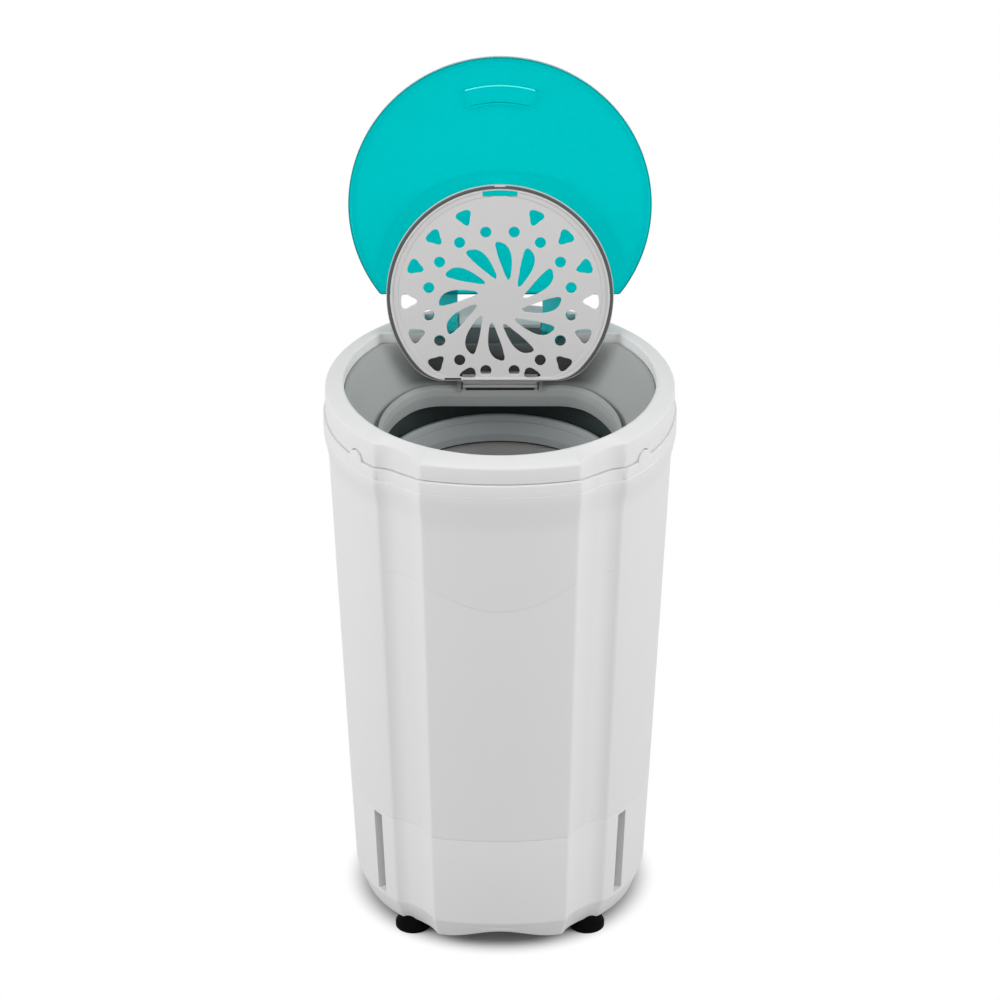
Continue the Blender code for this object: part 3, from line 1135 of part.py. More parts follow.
def make_interlock():
    """The rod behind the tub, the switch above and the brake lever below."""
    rod_top = OUTER_PIVOT_HEIGHT - CAM_OFFSET - CAM_RADIUS - CAM_GAP
    lever_top = LEVER_PIVOT_HEIGHT - LEVER_END_DROP + LEVER_BAR_HALF
    rod_bottom = lever_top + 2 * FACE_GAP
    profile = [
        (0, rod_bottom), (ROD_RADIUS, rod_bottom), (ROD_RADIUS, ROD_COLLAR_BOTTOM),
        (ROD_COLLAR_RADIUS, ROD_COLLAR_BOTTOM), (ROD_COLLAR_RADIUS, ROD_COLLAR_SHOULDER),
        (ROD_RADIUS, ROD_CONE_TOP), (ROD_RADIUS, rod_top), (0, rod_top),
    ]
    add_mesh("interlock_rod", turned(profile), STEEL, (ROD_X, OUTER_PIVOT_Y, 0))
    pivot = polar_point(ROD_AZIMUTH, LEVER_PIVOT_REACH, LEVER_PIVOT_HEIGHT)
    turn = (0, 0, math.radians(ROD_AZIMUTH))
    lever = add_mesh("brake_lever", radial_prism(lever_outline(), LEVER_HALF_WIDTH), STEEL, pivot, turn,
                     smooth=False)
    pin_half = LEVER_HALF_WIDTH + FACE_GAP + EAR_WIDTH
    cut(lever, along_x(INNER_PIN_RADIUS + FACE_GAP, -pin_half - CUT_OVERRUN, pin_half + CUT_OVERRUN))
    add_mesh("brake_lever_pin", along_x(INNER_PIN_RADIUS, -pin_half, pin_half), STEEL, pivot, turn)
    pad_back = LEVER_BACK + FACE_GAP
    pad_front = pad_back + BRAKE_PAD_THICKNESS
    pad_low = -LEVER_ARM_LENGTH
    pad_high = pad_low + BRAKE_PAD_HEIGHT
    outline = [(-pad_front, pad_low), (-pad_back, pad_low), (-pad_back, pad_high), (-pad_front, pad_high)]
    pad = add_mesh("brake_pad", radial_prism(outline, LEVER_HALF_WIDTH), DARK_RUBBER, pivot, turn,
                   smooth=False)
    drum = turned(rod_profile(DRUM_RADIUS + 2 * FACE_GAP, -2 * CUT_OVERRUN, CUT_OVERRUN), ROUND_STEPS)
    cut(pad, moved(drum, Matrix.Translation((0, LEVER_PIVOT_REACH, 0))))
    near = ROD_X + ROD_COLLAR_RADIUS - ROD_RADIUS + SWITCH_STANDOFF + SLIP_GAP + UNION_BITE
    under = POCKET_FLOOR - POCKET_WALL - FACE_GAP
    body = block((near, OUTER_PIVOT_Y - SWITCH_HALF_DEPTH, under - SWITCH_HEIGHT),
                 (near + SWITCH_LENGTH, OUTER_PIVOT_Y + SWITCH_HALF_DEPTH, under))
    switch = add_mesh("lid_switch", body, BLACK_PLASTIC, smooth=False)
    cut(switch, along_x(PLUNGER_RADIUS + SLIP_GAP, near - CUT_OVERRUN, near + PLUNGER_BORE_LENGTH,
                        OUTER_PIVOT_Y, PLUNGER_HEIGHT))
    tip = ROD_X + ROD_RADIUS + SLIP_GAP
    add_mesh("switch_plunger", along_x(PLUNGER_RADIUS, 0, PLUNGER_LENGTH), GREY_PLASTIC,
             (tip, OUTER_PIVOT_Y, PLUNGER_HEIGHT))


# Tub
TUB_HOLE_RADIUS = 0.0300
SPLASH_OVERLAP = 0.0015
SPLASH_RADIUS = TUB_RADIUS + SPLASH_OVERLAP
SPLASH_THICKNESS = 0.0030
DRAIN_FLOOR_HOLE = 0.0105


def make_tub():
    """The water tub round the basket, with its drain stub, rod guide and splash ring."""
    floor_top = TUB_FLOOR_HEIGHT + TUB_WALL
    inner = TUB_RADIUS - TUB_WALL
    profile = [
        (TUB_HOLE_RADIUS, TUB_FLOOR_HEIGHT), (inner, TUB_FLOOR_HEIGHT), (TUB_RADIUS, floor_top),
        (TUB_RADIUS, TUB_RIM_HEIGHT), (inner, TUB_RIM_HEIGHT), (inner, floor_top + TUB_WALL),
        (inner - TUB_WALL, floor_top), (TUB_HOLE_RADIUS, floor_top),
    ]
    tub = add_mesh("water_tub", turned(profile), GREY_PLASTIC)
    join(tub, upright(DRAIN_STUB_RADIUS, DRAIN_X, DRAIN_Y, TUB_FLOOR_HEIGHT - DRAIN_STUB_LENGTH,
                      TUB_FLOOR_HEIGHT + UNION_BITE))
    cut(tub, upright(DRAIN_STUB_BORE, DRAIN_X, DRAIN_Y, TUB_FLOOR_HEIGHT - DRAIN_STUB_LENGTH - CUT_OVERRUN,
                     TUB_FLOOR_HEIGHT - UNION_BITE / 2))
    cut(tub, upright(DRAIN_FLOOR_HOLE, DRAIN_X, DRAIN_Y, TUB_FLOOR_HEIGHT - CUT_OVERRUN / 2,
                     floor_top + CUT_OVERRUN))
    outline = [(TUB_RADIUS - TUB_WALL / 2, GUIDE_HEIGHT), (GUIDE_END_REACH, GUIDE_HEIGHT),
               (GUIDE_END_REACH, GUIDE_HEIGHT + GUIDE_THICKNESS),
               (TUB_RADIUS - TUB_WALL / 2, GUIDE_HEIGHT + GUIDE_THICKNESS)]
    join(tub, moved(radial_prism(outline, GUIDE_HALF_WIDTH), ROD_TURN))
    cut(tub, upright(ROD_RADIUS + SLIP_GAP, ROD_X, OUTER_PIVOT_Y, GUIDE_HEIGHT - CUT_OVERRUN,
                     GUIDE_HEIGHT + GUIDE_THICKNESS + CUT_OVERRUN))
    neck = NECK_WALL + SLIP_GAP
    hole = d_loop(OPENING_RADIUS + neck, OPENING_CHORD + neck, OPENING_CORNER + neck, 0, DECK_AZIMUTHS)
    low = TUB_RIM_HEIGHT + FACE_GAP
    plate = prism(circle_path(0, 0, SPLASH_RADIUS, ROUND_STEPS), low, low + SPLASH_THICKNESS,
                  [[(x, y) for x, y, _ in hole]])
    add_mesh("splash_ring", plate, GREY_PLASTIC)


# Rubber bellows and shaft seal in the tub's floor
SEAL_RADIUS = 0.0131
SEAL_RISE = 0.0100
SEAL_BOTTOM = TUB_FLOOR_HEIGHT + SEAL_RISE
SEAL_LENGTH = 0.0120
SEAL_TOP = SEAL_BOTTOM + SEAL_LENGTH
BELLOWS_HUB_RADIUS = 0.0170
BELLOWS_HUB_DROP = 0.0010
BELLOWS_HUB_BOTTOM = SEAL_BOTTOM - BELLOWS_HUB_DROP
BELLOWS_HUB_STAND = 0.0005
BELLOWS_HUB_TOP = SEAL_TOP + BELLOWS_HUB_STAND
BELLOWS_FLANGE_RADIUS = 0.0420
BELLOWS_FLANGE_THICKNESS = 0.0020
BELLOWS_INNER_RADIUS = 0.0295
BELLOWS_WALL = 0.0020
BELLOWS_CREST_RADIUS = 0.0237
BELLOWS_CREST_RISE = 0.0165
BELLOWS_CREST_HEIGHT = TUB_FLOOR_HEIGHT + BELLOWS_CREST_RISE


def make_bellows():
    """The rubber bellows that lets the motor sway under the tub, and the seal that it holds."""
    flange = TUB_FLOOR_HEIGHT + TUB_WALL + FACE_GAP
    hub_inner = SEAL_RADIUS + FACE_GAP
    web = BELLOWS_HUB_BOTTOM + BELLOWS_WALL / 2
    profile = [
        (BELLOWS_INNER_RADIUS, flange), (BELLOWS_FLANGE_RADIUS, flange),
        (BELLOWS_FLANGE_RADIUS, flange + BELLOWS_FLANGE_THICKNESS),
        (BELLOWS_INNER_RADIUS + BELLOWS_WALL, flange + BELLOWS_FLANGE_THICKNESS),
        (BELLOWS_CREST_RADIUS + BELLOWS_WALL / 2, BELLOWS_CREST_HEIGHT + BELLOWS_WALL),
        (BELLOWS_CREST_RADIUS - BELLOWS_WALL / 2, BELLOWS_CREST_HEIGHT + BELLOWS_WALL),
        (BELLOWS_HUB_RADIUS, web + 2 * BELLOWS_WALL), (BELLOWS_HUB_RADIUS, BELLOWS_HUB_TOP),
        (hub_inner, BELLOWS_HUB_TOP), (hub_inner, BELLOWS_HUB_BOTTOM),
        (BELLOWS_HUB_RADIUS, BELLOWS_HUB_BOTTOM), (BELLOWS_HUB_RADIUS, web),
        (BELLOWS_CREST_RADIUS, BELLOWS_CREST_HEIGHT),
    ]
    add_mesh("tub_bellows", turned(profile, MOTOR_STEPS), DARK_RUBBER)
    seal = tube_profile(SHAFT_RADIUS + SLIP_GAP, SEAL_RADIUS, SEAL_BOTTOM, SEAL_TOP)
    add_mesh("shaft_seal", turned(seal, SMALL_STEPS), BLACK_PLASTIC)


# Basket
BASE_HUB_RISE = 0.0265
BASE_HUB_BOTTOM = TUB_FLOOR_HEIGHT + BASE_HUB_RISE
BASE_HUB_LENGTH = 0.0275
BASE_HUB_TOP = BASE_HUB_BOTTOM + BASE_HUB_LENGTH
BASE_HUB_RADIUS = 0.0200
BASE_HUB_NECK = 0.0150
BASE_PAN_RISE = 0.0075
BASE_PAN_BOTTOM = BASE_HUB_BOTTOM + BASE_PAN_RISE
BASE_PAN_THICKNESS = 0.0035
BASE_RIM_RISE = 0.0120
BASE_RIM_TOP = BASE_PAN_BOTTOM + BASE_RIM_RISE
BASE_RIM_WALL = 0.0025
BASE_RIM_CLEARANCE = 0.0018
BASE_PAN_SLOPE = 0.0030
BORE_GAP = 0.0003
NUT_RADIUS = 0.0120
NUT_HEIGHT = 0.0077
SHAFT_STAND = 0.0100
SHAFT_TOP = BASE_HUB_TOP + SHAFT_STAND
BASKET_WALL_RISE = 0.0070
BASKET_WALL_BOTTOM = BASE_PAN_BOTTOM + BASKET_WALL_RISE
COLLAR_DEPTH = 0.0309
BASKET_WALL_TOP = BASKET_RIM_HEIGHT - COLLAR_DEPTH
PERFORATION_COLUMNS = 12
PERFORATION_ROWS = 4
PERFORATION_DEG = 3.7
PERFORATION_HEIGHT = 0.0080
COLLAR_OVERHANG = 0.0043
COLLAR_OUTER = BASKET_RADIUS + COLLAR_OVERHANG
COLLAR_SKIRT_LAP = 0.0100
COLLAR_SKIRT_BOTTOM = BASKET_WALL_TOP - COLLAR_SKIRT_LAP
COLLAR_SKIRT_GAP = 0.0014
COLLAR_EDGE = 0.0015
COLLAR_SHOULDER = 0.0040
COLLAR_LIP_INSET = 0.0055
COLLAR_LIP_RADIUS = COLLAR_OUTER - COLLAR_LIP_INSET
COLLAR_THROAT_INSET = 0.0118
COLLAR_THROAT_RADIUS = COLLAR_OUTER - COLLAR_THROAT_INSET
COLLAR_THROAT_LEVEL = 0.0244
COLLAR_THROAT_HEIGHT = BASKET_RIM_HEIGHT - COLLAR_THROAT_LEVEL
COLLAR_THROAT_DEPTH = 0.0025
COLLAR_UNDERCUT_INSET = 0.0080
COLLAR_UNDERCUT_RADIUS = COLLAR_OUTER - COLLAR_UNDERCUT_INSET
COLLAR_UNDERCUT_DROP = 0.0045


def basket_wall_shape():
    """A thin cylinder with rows of holes, built cell by cell."""
    pitch = 360.0 / PERFORATION_COLUMNS
    angles = []
    for column in range(PERFORATION_COLUMNS):
        start = column * pitch
        gap = pitch - PERFORATION_DEG
        angles += [start, start + PERFORATION_DEG, start + PERFORATION_DEG + gap / 2]
    band = (BASKET_WALL_TOP - BASKET_WALL_BOTTOM) / PERFORATION_ROWS
    heights = [BASKET_WALL_BOTTOM]
    for row in range(PERFORATION_ROWS):
        middle = BASKET_WALL_BOTTOM + band * (row + 0.5)
        heights += [middle - PERFORATION_HEIGHT / 2, middle + PERFORATION_HEIGHT / 2]
    heights.append(BASKET_WALL_TOP)
    shape = bmesh.new()
    skins = []
    for radius in (BASKET_RADIUS, BASKET_RADIUS - BASKET_WALL):
        skins.append([[shape.verts.new(polar_point(angle, radius, height)) for angle in angles]
                      for height in heights])
    outer, inner = skins
    count = len(angles)

    def is_hole(row, column):
        return row % 2 == 1 and column % 3 == 0

    for row in range(len(heights) - 1):
        for column in range(count):
            following = (column + 1) % count
            corners = [(row, column), (row, following), (row + 1, following), (row + 1, column)]
            if not is_hole(row, column):
                for skin in skins:
                    shape.faces.new([skin[r][c] for r, c in corners])
                continue
            for (r0, c0), (r1, c1) in zip(corners, corners[1:] + corners[:1]):
                shape.faces.new((outer[r0][c0], outer[r1][c1], inner[r1][c1], inner[r0][c0]))
    for row in (0, len(heights) - 1):
        for column in range(count):
            following = (column + 1) % count
            shape.faces.new((outer[row][column], outer[row][following],
                             inner[row][following], inner[row][column]))
    return shape


def make_basket():
    """The perforated basket: wall, bottom with hub, and the balance collar on its rim."""
    add_mesh("basket_wall", basket_wall_shape(), STEEL)
    bore = SHAFT_RADIUS + BORE_GAP
    rim = BASKET_RADIUS - BASKET_WALL - BASE_RIM_CLEARANCE
    pan_top = BASE_PAN_BOTTOM + BASE_PAN_THICKNESS
    profile = [
        (bore, BASE_HUB_BOTTOM), (BASE_HUB_RADIUS, BASE_HUB_BOTTOM), (BASE_HUB_RADIUS, BASE_PAN_BOTTOM),
        (rim - BASE_RIM_WALL, BASE_PAN_BOTTOM), (rim, BASE_PAN_BOTTOM + BASE_PAN_SLOPE), (rim, BASE_RIM_TOP),
        (rim - BASE_RIM_WALL, BASE_RIM_TOP), (rim - BASE_RIM_WALL, pan_top + BASE_PAN_SLOPE),
        (rim - 2 * BASE_RIM_WALL, pan_top), (BASE_HUB_RADIUS + BASE_PAN_SLOPE, pan_top),
        (BASE_HUB_NECK, BASE_HUB_TOP), (bore, BASE_HUB_TOP),
    ]
    add_mesh("basket_base", turned(profile), GREY_PLASTIC)
    skirt_inner = BASKET_RADIUS + COLLAR_SKIRT_GAP
    slot = BASKET_WALL_TOP + FACE_GAP
    profile = [
        (skirt_inner, COLLAR_SKIRT_BOTTOM), (COLLAR_OUTER, COLLAR_SKIRT_BOTTOM),
        (COLLAR_OUTER, BASKET_RIM_HEIGHT - COLLAR_SHOULDER), (COLLAR_OUTER - COLLAR_EDGE, BASKET_RIM_HEIGHT),
        (COLLAR_LIP_RADIUS + COLLAR_EDGE, BASKET_RIM_HEIGHT),
        (COLLAR_LIP_RADIUS, BASKET_RIM_HEIGHT - COLLAR_EDGE),
        (COLLAR_THROAT_RADIUS, COLLAR_THROAT_HEIGHT),
        (COLLAR_THROAT_RADIUS, COLLAR_THROAT_HEIGHT - COLLAR_THROAT_DEPTH),
        (COLLAR_UNDERCUT_RADIUS, COLLAR_THROAT_HEIGHT - COLLAR_UNDERCUT_DROP),
        (COLLAR_UNDERCUT_RADIUS, slot), (skirt_inner, slot),
    ]
    add_mesh("basket_collar", turned(profile), LID_GREY)
    add_mesh("drive_shaft", turned(rod_profile(SHAFT_RADIUS, SHAFT_BOTTOM, SHAFT_TOP), SMALL_STEPS), STEEL)
    nut_low = BASE_HUB_TOP + FACE_GAP
    nut = prism(circle_path(0, 0, NUT_RADIUS, 6), nut_low, nut_low + NUT_HEIGHT,
                [circle_path(0, 0, bore + FACE_GAP)])
    add_mesh("hub_nut", nut, STEEL, smooth=False)


# Motor on its rubber mounts
MOTOR_PLATE_RISE = 0.0335
MOTOR_PLATE_BOTTOM = PLATE_TOP + MOTOR_PLATE_RISE
MOTOR_PLATE_THICKNESS = 0.0030
SHAFT_FOOT_RISE = 0.0045
SHAFT_BOTTOM = MOTOR_PLATE_BOTTOM + SHAFT_FOOT_RISE
MOTOR_PLATE_RADIUS = 0.0980
MOTOR_PLATE_HOLE = 0.0190
MOUNT_RADIUS = 0.0140
MOUNT_WAIST_RADIUS = 0.0120
MOUNT_WAIST_INSET = 0.0060
MOUNT_HEAD_RADIUS = 0.0055
MOUNT_HEAD_HEIGHT = 0.0040
SHIELD_RADIUS = 0.0620
SHIELD_INNER = 0.0535
SHIELD_FLOOR = 0.0025
SHIELD_HOLE = 0.0095
LOWER_SHIELD_HEIGHT = 0.0132
STATOR_RADIUS = 0.0558
STATOR_BORE = 0.0362
STATOR_HEIGHT = 0.0270
ROTOR_RADIUS = 0.0355
ROTOR_END_INSET = 0.0022
BEARING_OUTER = 0.0176
BEARING_INNER = 0.0076
BEARING_WIDTH = 0.0100
BEARING_SEAT_WALL = 0.0050
UPPER_SHIELD_HEIGHT = 0.0159
WINDING_INNER = 0.0380
WINDING_OUTER = 0.0520
WINDING_HEIGHT = 0.0085
MOTOR_BOLT_CIRCLE = 0.0585
MOTOR_BOLT_RADIUS = 0.0020
MOTOR_BOLT_HEAD = 0.0034
MOTOR_BOLT_HEAD_HEIGHT = 0.0028
MOTOR_BOLT_DEGS = (45.0, 135.0, 225.0, 315.0)
DRUM_HEIGHT = 0.0120
DRUM_WALL = 0.0030
DRUM_WEB = 0.0030
DRUM_HUB_RADIUS = 0.0120
DRUM_RISE = 0.0035
DRUM_NECK_RADIUS = 0.0088

MOTOR_BOLT_PLACES = circle_places(MOTOR_BOLT_CIRCLE, MOTOR_BOLT_DEGS)


def shield_shape(outside, inside, rim):
    """A motor end shield: plate, side wall and bearing seat, from the outside face to the rim."""
    seat_outer = BEARING_OUTER + FACE_GAP + BEARING_SEAT_WALL
    seat_inner = BEARING_OUTER + FACE_GAP
    toward = math.copysign(1, rim - outside)
    seat_end = inside + toward * (BEARING_WIDTH + FACE_GAP)
    return turned([
        (SHIELD_HOLE, outside), (SHIELD_RADIUS, outside), (SHIELD_RADIUS, rim), (SHIELD_INNER, rim),
        (SHIELD_INNER, inside), (seat_outer, inside), (seat_outer, seat_end), (seat_inner, seat_end),
        (seat_inner, inside), (SHIELD_HOLE, inside),
    ], MOTOR_STEPS)


def make_motor():
    """Plate, mounts, end shields, stator, rotor, bearings and the brake drum."""
    plate_top = MOTOR_PLATE_BOTTOM + MOTOR_PLATE_THICKNESS
    holes = [circle_path(0, 0, MOTOR_PLATE_HOLE, MOTOR_STEPS)]
    holes += [circle_path(x, y, MOUNT_BOLT_RADIUS + SLIP_GAP) for x, y in MOUNT_PLACES.values()]
    holes += [circle_path(x, y, MOTOR_BOLT_RADIUS + SLIP_GAP) for x, y in MOTOR_BOLT_PLACES]
    outline = circle_path(0, 0, MOTOR_PLATE_RADIUS, ROUND_STEPS)
    add_mesh("motor_plate", prism(outline, MOTOR_PLATE_BOTTOM, plate_top, holes), STEEL)
    low = PLATE_TOP + FACE_GAP
    high = MOTOR_PLATE_BOTTOM - FACE_GAP
    bore = MOUNT_BOLT_RADIUS + SLIP_GAP
    profile = [(bore, low), (MOUNT_RADIUS, low), (MOUNT_WAIST_RADIUS, low + MOUNT_WAIST_INSET),
               (MOUNT_WAIST_RADIUS, high - MOUNT_WAIST_INSET), (MOUNT_RADIUS, high), (bore, high)]
    for word, (x, y) in MOUNT_PLACES.items():
        add_mesh(f"motor_mount_{word}", turned(profile, SMALL_STEPS), DARK_RUBBER, (x, y, 0))
        add_screw(f"mount_bolt_{word}", (x, y), plate_top + FACE_GAP + MOUNT_HEAD_HEIGHT, MOUNT_BOLT_END,
                  MOUNT_BOLT_RADIUS, MOUNT_HEAD_RADIUS, MOUNT_HEAD_HEIGHT)
    lower_low = plate_top + FACE_GAP
    lower_rim = lower_low + LOWER_SHIELD_HEIGHT
    lower_floor = lower_low + SHIELD_FLOOR
    lower = add_mesh("motor_lower_shield", shield_shape(lower_low, lower_floor, lower_rim), CAST_ALLOY)
    stator_low = lower_rim + FACE_GAP
    stator_high = stator_low + STATOR_HEIGHT
    stator = tube_profile(STATOR_BORE, STATOR_RADIUS, stator_low, stator_high)
    add_mesh("motor_stator", turned(stator, MOTOR_STEPS), LAMINATION)
    upper_rim = stator_high + FACE_GAP
    upper_high = upper_rim + UPPER_SHIELD_HEIGHT
    upper_ceiling = upper_high - SHIELD_FLOOR
    upper = add_mesh("motor_upper_shield", shield_shape(upper_high, upper_ceiling, upper_rim), CAST_ALLOY)
    for x, y in MOTOR_BOLT_PLACES:
        for shield in (lower, upper):
            cut(shield, upright(MOTOR_BOLT_RADIUS + SLIP_GAP, x, y, lower_low - CUT_OVERRUN,
                                upper_high + CUT_OVERRUN))
    for number, place in enumerate(MOTOR_BOLT_PLACES, 1):
        add_screw(f"motor_bolt_{number}", place, upper_high + FACE_GAP + MOTOR_BOLT_HEAD_HEIGHT,
                  MOTOR_PLATE_BOTTOM - FACE_GAP, MOTOR_BOLT_RADIUS, MOTOR_BOLT_HEAD, MOTOR_BOLT_HEAD_HEIGHT)
    for word, low in (("lower", stator_low - FACE_GAP - WINDING_HEIGHT), ("upper", stator_high + FACE_GAP)):
        profile = tube_profile(WINDING_INNER, WINDING_OUTER, low, low + WINDING_HEIGHT)
        add_mesh(f"motor_winding_{word}", turned(profile, MOTOR_STEPS), COPPER)
    profile = tube_profile(SHAFT_RADIUS + BORE_GAP, ROTOR_RADIUS, stator_low + ROTOR_END_INSET,
                           stator_high - ROTOR_END_INSET)
    add_mesh("motor_rotor", turned(profile, MOTOR_STEPS), LAMINATION)
    bearing = tube_profile(BEARING_INNER, BEARING_OUTER, lower_floor + FACE_GAP,
                           lower_floor + FACE_GAP + BEARING_WIDTH)
    add_mesh("bearing_lower", turned(bearing, SMALL_STEPS), STEEL)
    bearing = tube_profile(BEARING_INNER, BEARING_OUTER, upper_ceiling - FACE_GAP - BEARING_WIDTH,
                           upper_ceiling - FACE_GAP)
    add_mesh("bearing_upper", turned(bearing, SMALL_STEPS), STEEL)
    make_brake_side(upper, upper_high, upper_ceiling)


def make_brake_side(upper, upper_high, upper_ceiling):
    """The brake drum on the shaft and the ears that carry the lever on the upper shield."""
    bore = SHAFT_RADIUS + BORE_GAP
    low = upper_high + DRUM_RISE
    high = low + DRUM_HEIGHT
    add_mesh("brake_drum", turned([
        (bore, upper_ceiling + FACE_GAP), (DRUM_NECK_RADIUS, upper_ceiling + FACE_GAP),
        (DRUM_NECK_RADIUS, low),
        (DRUM_RADIUS, low), (DRUM_RADIUS, high), (DRUM_RADIUS - DRUM_WALL, high),
        (DRUM_RADIUS - DRUM_WALL, low + DRUM_WEB), (DRUM_HUB_RADIUS, low + DRUM_WEB),
        (DRUM_HUB_RADIUS, high), (bore, high),
    ], MOTOR_STEPS), CAST_ALLOY)
    outline = [(LEVER_PIVOT_REACH - EAR_HALF_LENGTH, upper_high - UNION_BITE),
               (LEVER_PIVOT_REACH + EAR_HALF_LENGTH, upper_high - UNION_BITE),
               (LEVER_PIVOT_REACH + EAR_HALF_LENGTH, LEVER_PIVOT_HEIGHT + LEVER_HUB),
               (LEVER_PIVOT_REACH - EAR_HALF_LENGTH, LEVER_PIVOT_HEIGHT + LEVER_HUB)]
    offset = LEVER_HALF_WIDTH + FACE_GAP + EAR_WIDTH / 2
    for side in (-1, 1):
        ear = moved(radial_prism(outline, EAR_WIDTH / 2), Matrix.Translation((side * offset, 0, 0)))
        join(upper, moved(ear, ROD_TURN))
    reach = offset + CUT_OVERRUN
    hole = along_x(INNER_PIN_RADIUS + FACE_GAP, -reach, reach, -LEVER_PIVOT_REACH, LEVER_PIVOT_HEIGHT)
    cut(upper, moved(hole, ROD_TURN))


# Electrical parts on the base plate
CAPACITOR_RADIUS = 0.0175
CAPACITOR_HEIGHT = 0.0320
CAPACITOR_REACH = 0.0990
CAPACITOR_DEG = -90.0
CLAMP_WALL = 0.0018
CLAMP_HEIGHT = 0.0100
CLAMP_RISE = 0.0140
TERMINAL_HALF_WIDTH = 0.0160
TERMINAL_NEAR_Y = 0.0980
TERMINAL_FAR_Y = 0.1160
TERMINAL_HEIGHT = 0.0150


def make_electrics():
    """The start capacitor with its clamp and the terminal block for the mains lead."""
    low = PLATE_TOP + FACE_GAP
    x, y, _ = polar_point(CAPACITOR_DEG, CAPACITOR_REACH, 0)
    add_mesh("capacitor", turned(rod_profile(CAPACITOR_RADIUS, low, low + CAPACITOR_HEIGHT), SMALL_STEPS),
             BLACK_PLASTIC, (x, y, 0))
    inner = CAPACITOR_RADIUS + FACE_GAP
    clamp = turned(tube_profile(inner, inner + CLAMP_WALL, low + CLAMP_RISE, low + CLAMP_RISE + CLAMP_HEIGHT),
                   SMALL_STEPS)
    add_mesh("capacitor_clamp", clamp, STEEL, (x, y, 0))
    add_mesh("terminal_block", block((-TERMINAL_HALF_WIDTH, TERMINAL_NEAR_Y, low),
                                     (TERMINAL_HALF_WIDTH, TERMINAL_FAR_Y, low + TERMINAL_HEIGHT)),
             GREY_PLASTIC, smooth=False)


def make_dryer():
    """All sub-parts, from the floor up."""
    make_feet()
    make_base_plate()
    make_base_skirt()
    make_drain()
    make_motor()
    make_electrics()
    make_bellows()
    make_tub()
    make_basket()
    make_cabinet()
    make_top_ring()
    make_deck()
    make_inner_lid()
    make_outer_lid()
    make_interlock()
    for item in bpy.data.objects:
        item.location.y += AXIS_Y


make_dryer()
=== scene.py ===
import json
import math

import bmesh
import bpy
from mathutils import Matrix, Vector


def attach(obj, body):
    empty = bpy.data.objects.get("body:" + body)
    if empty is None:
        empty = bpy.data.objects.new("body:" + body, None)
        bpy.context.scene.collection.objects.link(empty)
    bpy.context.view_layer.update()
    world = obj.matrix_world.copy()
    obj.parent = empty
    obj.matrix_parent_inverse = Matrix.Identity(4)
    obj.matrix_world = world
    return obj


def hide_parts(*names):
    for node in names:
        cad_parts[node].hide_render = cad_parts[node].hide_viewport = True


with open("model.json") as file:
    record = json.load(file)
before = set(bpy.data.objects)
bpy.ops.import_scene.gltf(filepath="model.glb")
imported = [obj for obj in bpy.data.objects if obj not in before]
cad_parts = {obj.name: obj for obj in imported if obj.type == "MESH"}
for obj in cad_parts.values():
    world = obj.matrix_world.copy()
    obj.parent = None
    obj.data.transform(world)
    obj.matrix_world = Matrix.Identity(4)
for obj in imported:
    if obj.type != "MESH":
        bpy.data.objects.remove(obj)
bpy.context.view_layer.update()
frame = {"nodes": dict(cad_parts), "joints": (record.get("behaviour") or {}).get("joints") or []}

# %% [markdown]
# # A spin dryer with both lids open
# The solid model of the dryer is loaded as a fixed frame. Round it this lesson makes the pieces
# that show, with finer meshes than the solids have, and gives every hidden solid a finish too.
# Each size below is a real one in metres, and the places of the axis and the hinges come from the
# frame's joints, so a new piece lands on the solid that it stands for.

JOINTS = {joint["name"]: joint for joint in frame["joints"]}
AXIS_Y = JOINTS["basket_spin"]["pos_m"][1]
OUTER_PIVOT = Vector(JOINTS["outer_lid_hinge"]["pos_m"])
INNER_PIVOT = Vector(JOINTS["inner_lid_hinge"]["pos_m"])
OUTER_OPEN_DEG = 102.0
INNER_OPEN_DEG = 104.0
print("spin axis at y", AXIS_Y, "hinges", tuple(OUTER_PIVOT), tuple(INNER_PIVOT))

# %% [markdown]
# ## The camera
# The photograph looks down on the dryer from far away: the rims are ellipses, and their flatness
# gives the height of the view. A long lens at nine metres keeps the casing's sides nearly
# parallel.

# %% Camera
CAMERA_TARGET = Vector((0, AXIS_Y, 0.4633))
CAMERA_DISTANCE = 9.0
CAMERA_ELEVATION_DEG = 28.9
CAMERA_LENS = 310.46
CAMERA_SENSOR = 36.0
CAMERA_REACH = 40.0

eye = bpy.data.cameras.new("camera")
eye.lens = CAMERA_LENS
eye.sensor_width = CAMERA_SENSOR
eye.clip_end = CAMERA_REACH
camera = bpy.data.objects.new("camera", eye)
lift = math.radians(CAMERA_ELEVATION_DEG)
camera.location = CAMERA_TARGET + CAMERA_DISTANCE * Vector((0, -math.cos(lift), math.sin(lift)))
camera.rotation_euler = (math.pi / 2 - lift, 0, 0)
bpy.context.collection.objects.link(camera)
bpy.context.scene.camera = camera
bpy.context.scene.view_settings.view_transform = "Standard"
print("camera stands at", [round(value, 3) for value in camera.location])

# %% [markdown]
# ## A node in one call
# Light, finishes and Geometry Nodes are all node trees. One helper adds a node, gives it its
# settings and fills its inputs: with a link where a socket is given, with a value otherwise.

# %% A node in one call
WHITE = (1.0, 1.0, 1.0, 1.0)


def add_node(tree, kind, inputs=(), **settings):
    """A node with its settings; each input is a socket to link or a plain value."""
    node = tree.nodes.new(kind)
    for label, value in settings.items():
        setattr(node, label, value)
    for label, value in dict(inputs).items():
        if hasattr(value, "node"):
            tree.links.new(value, node.inputs[label])
        else:
            node.inputs[label].default_value = value
    return node


def math_node(tree, operation, *values):
    """The result of a math node; its inputs are sockets or plain numbers."""
    return add_node(tree, "ShaderNodeMath", enumerate(values), operation=operation).outputs[0]


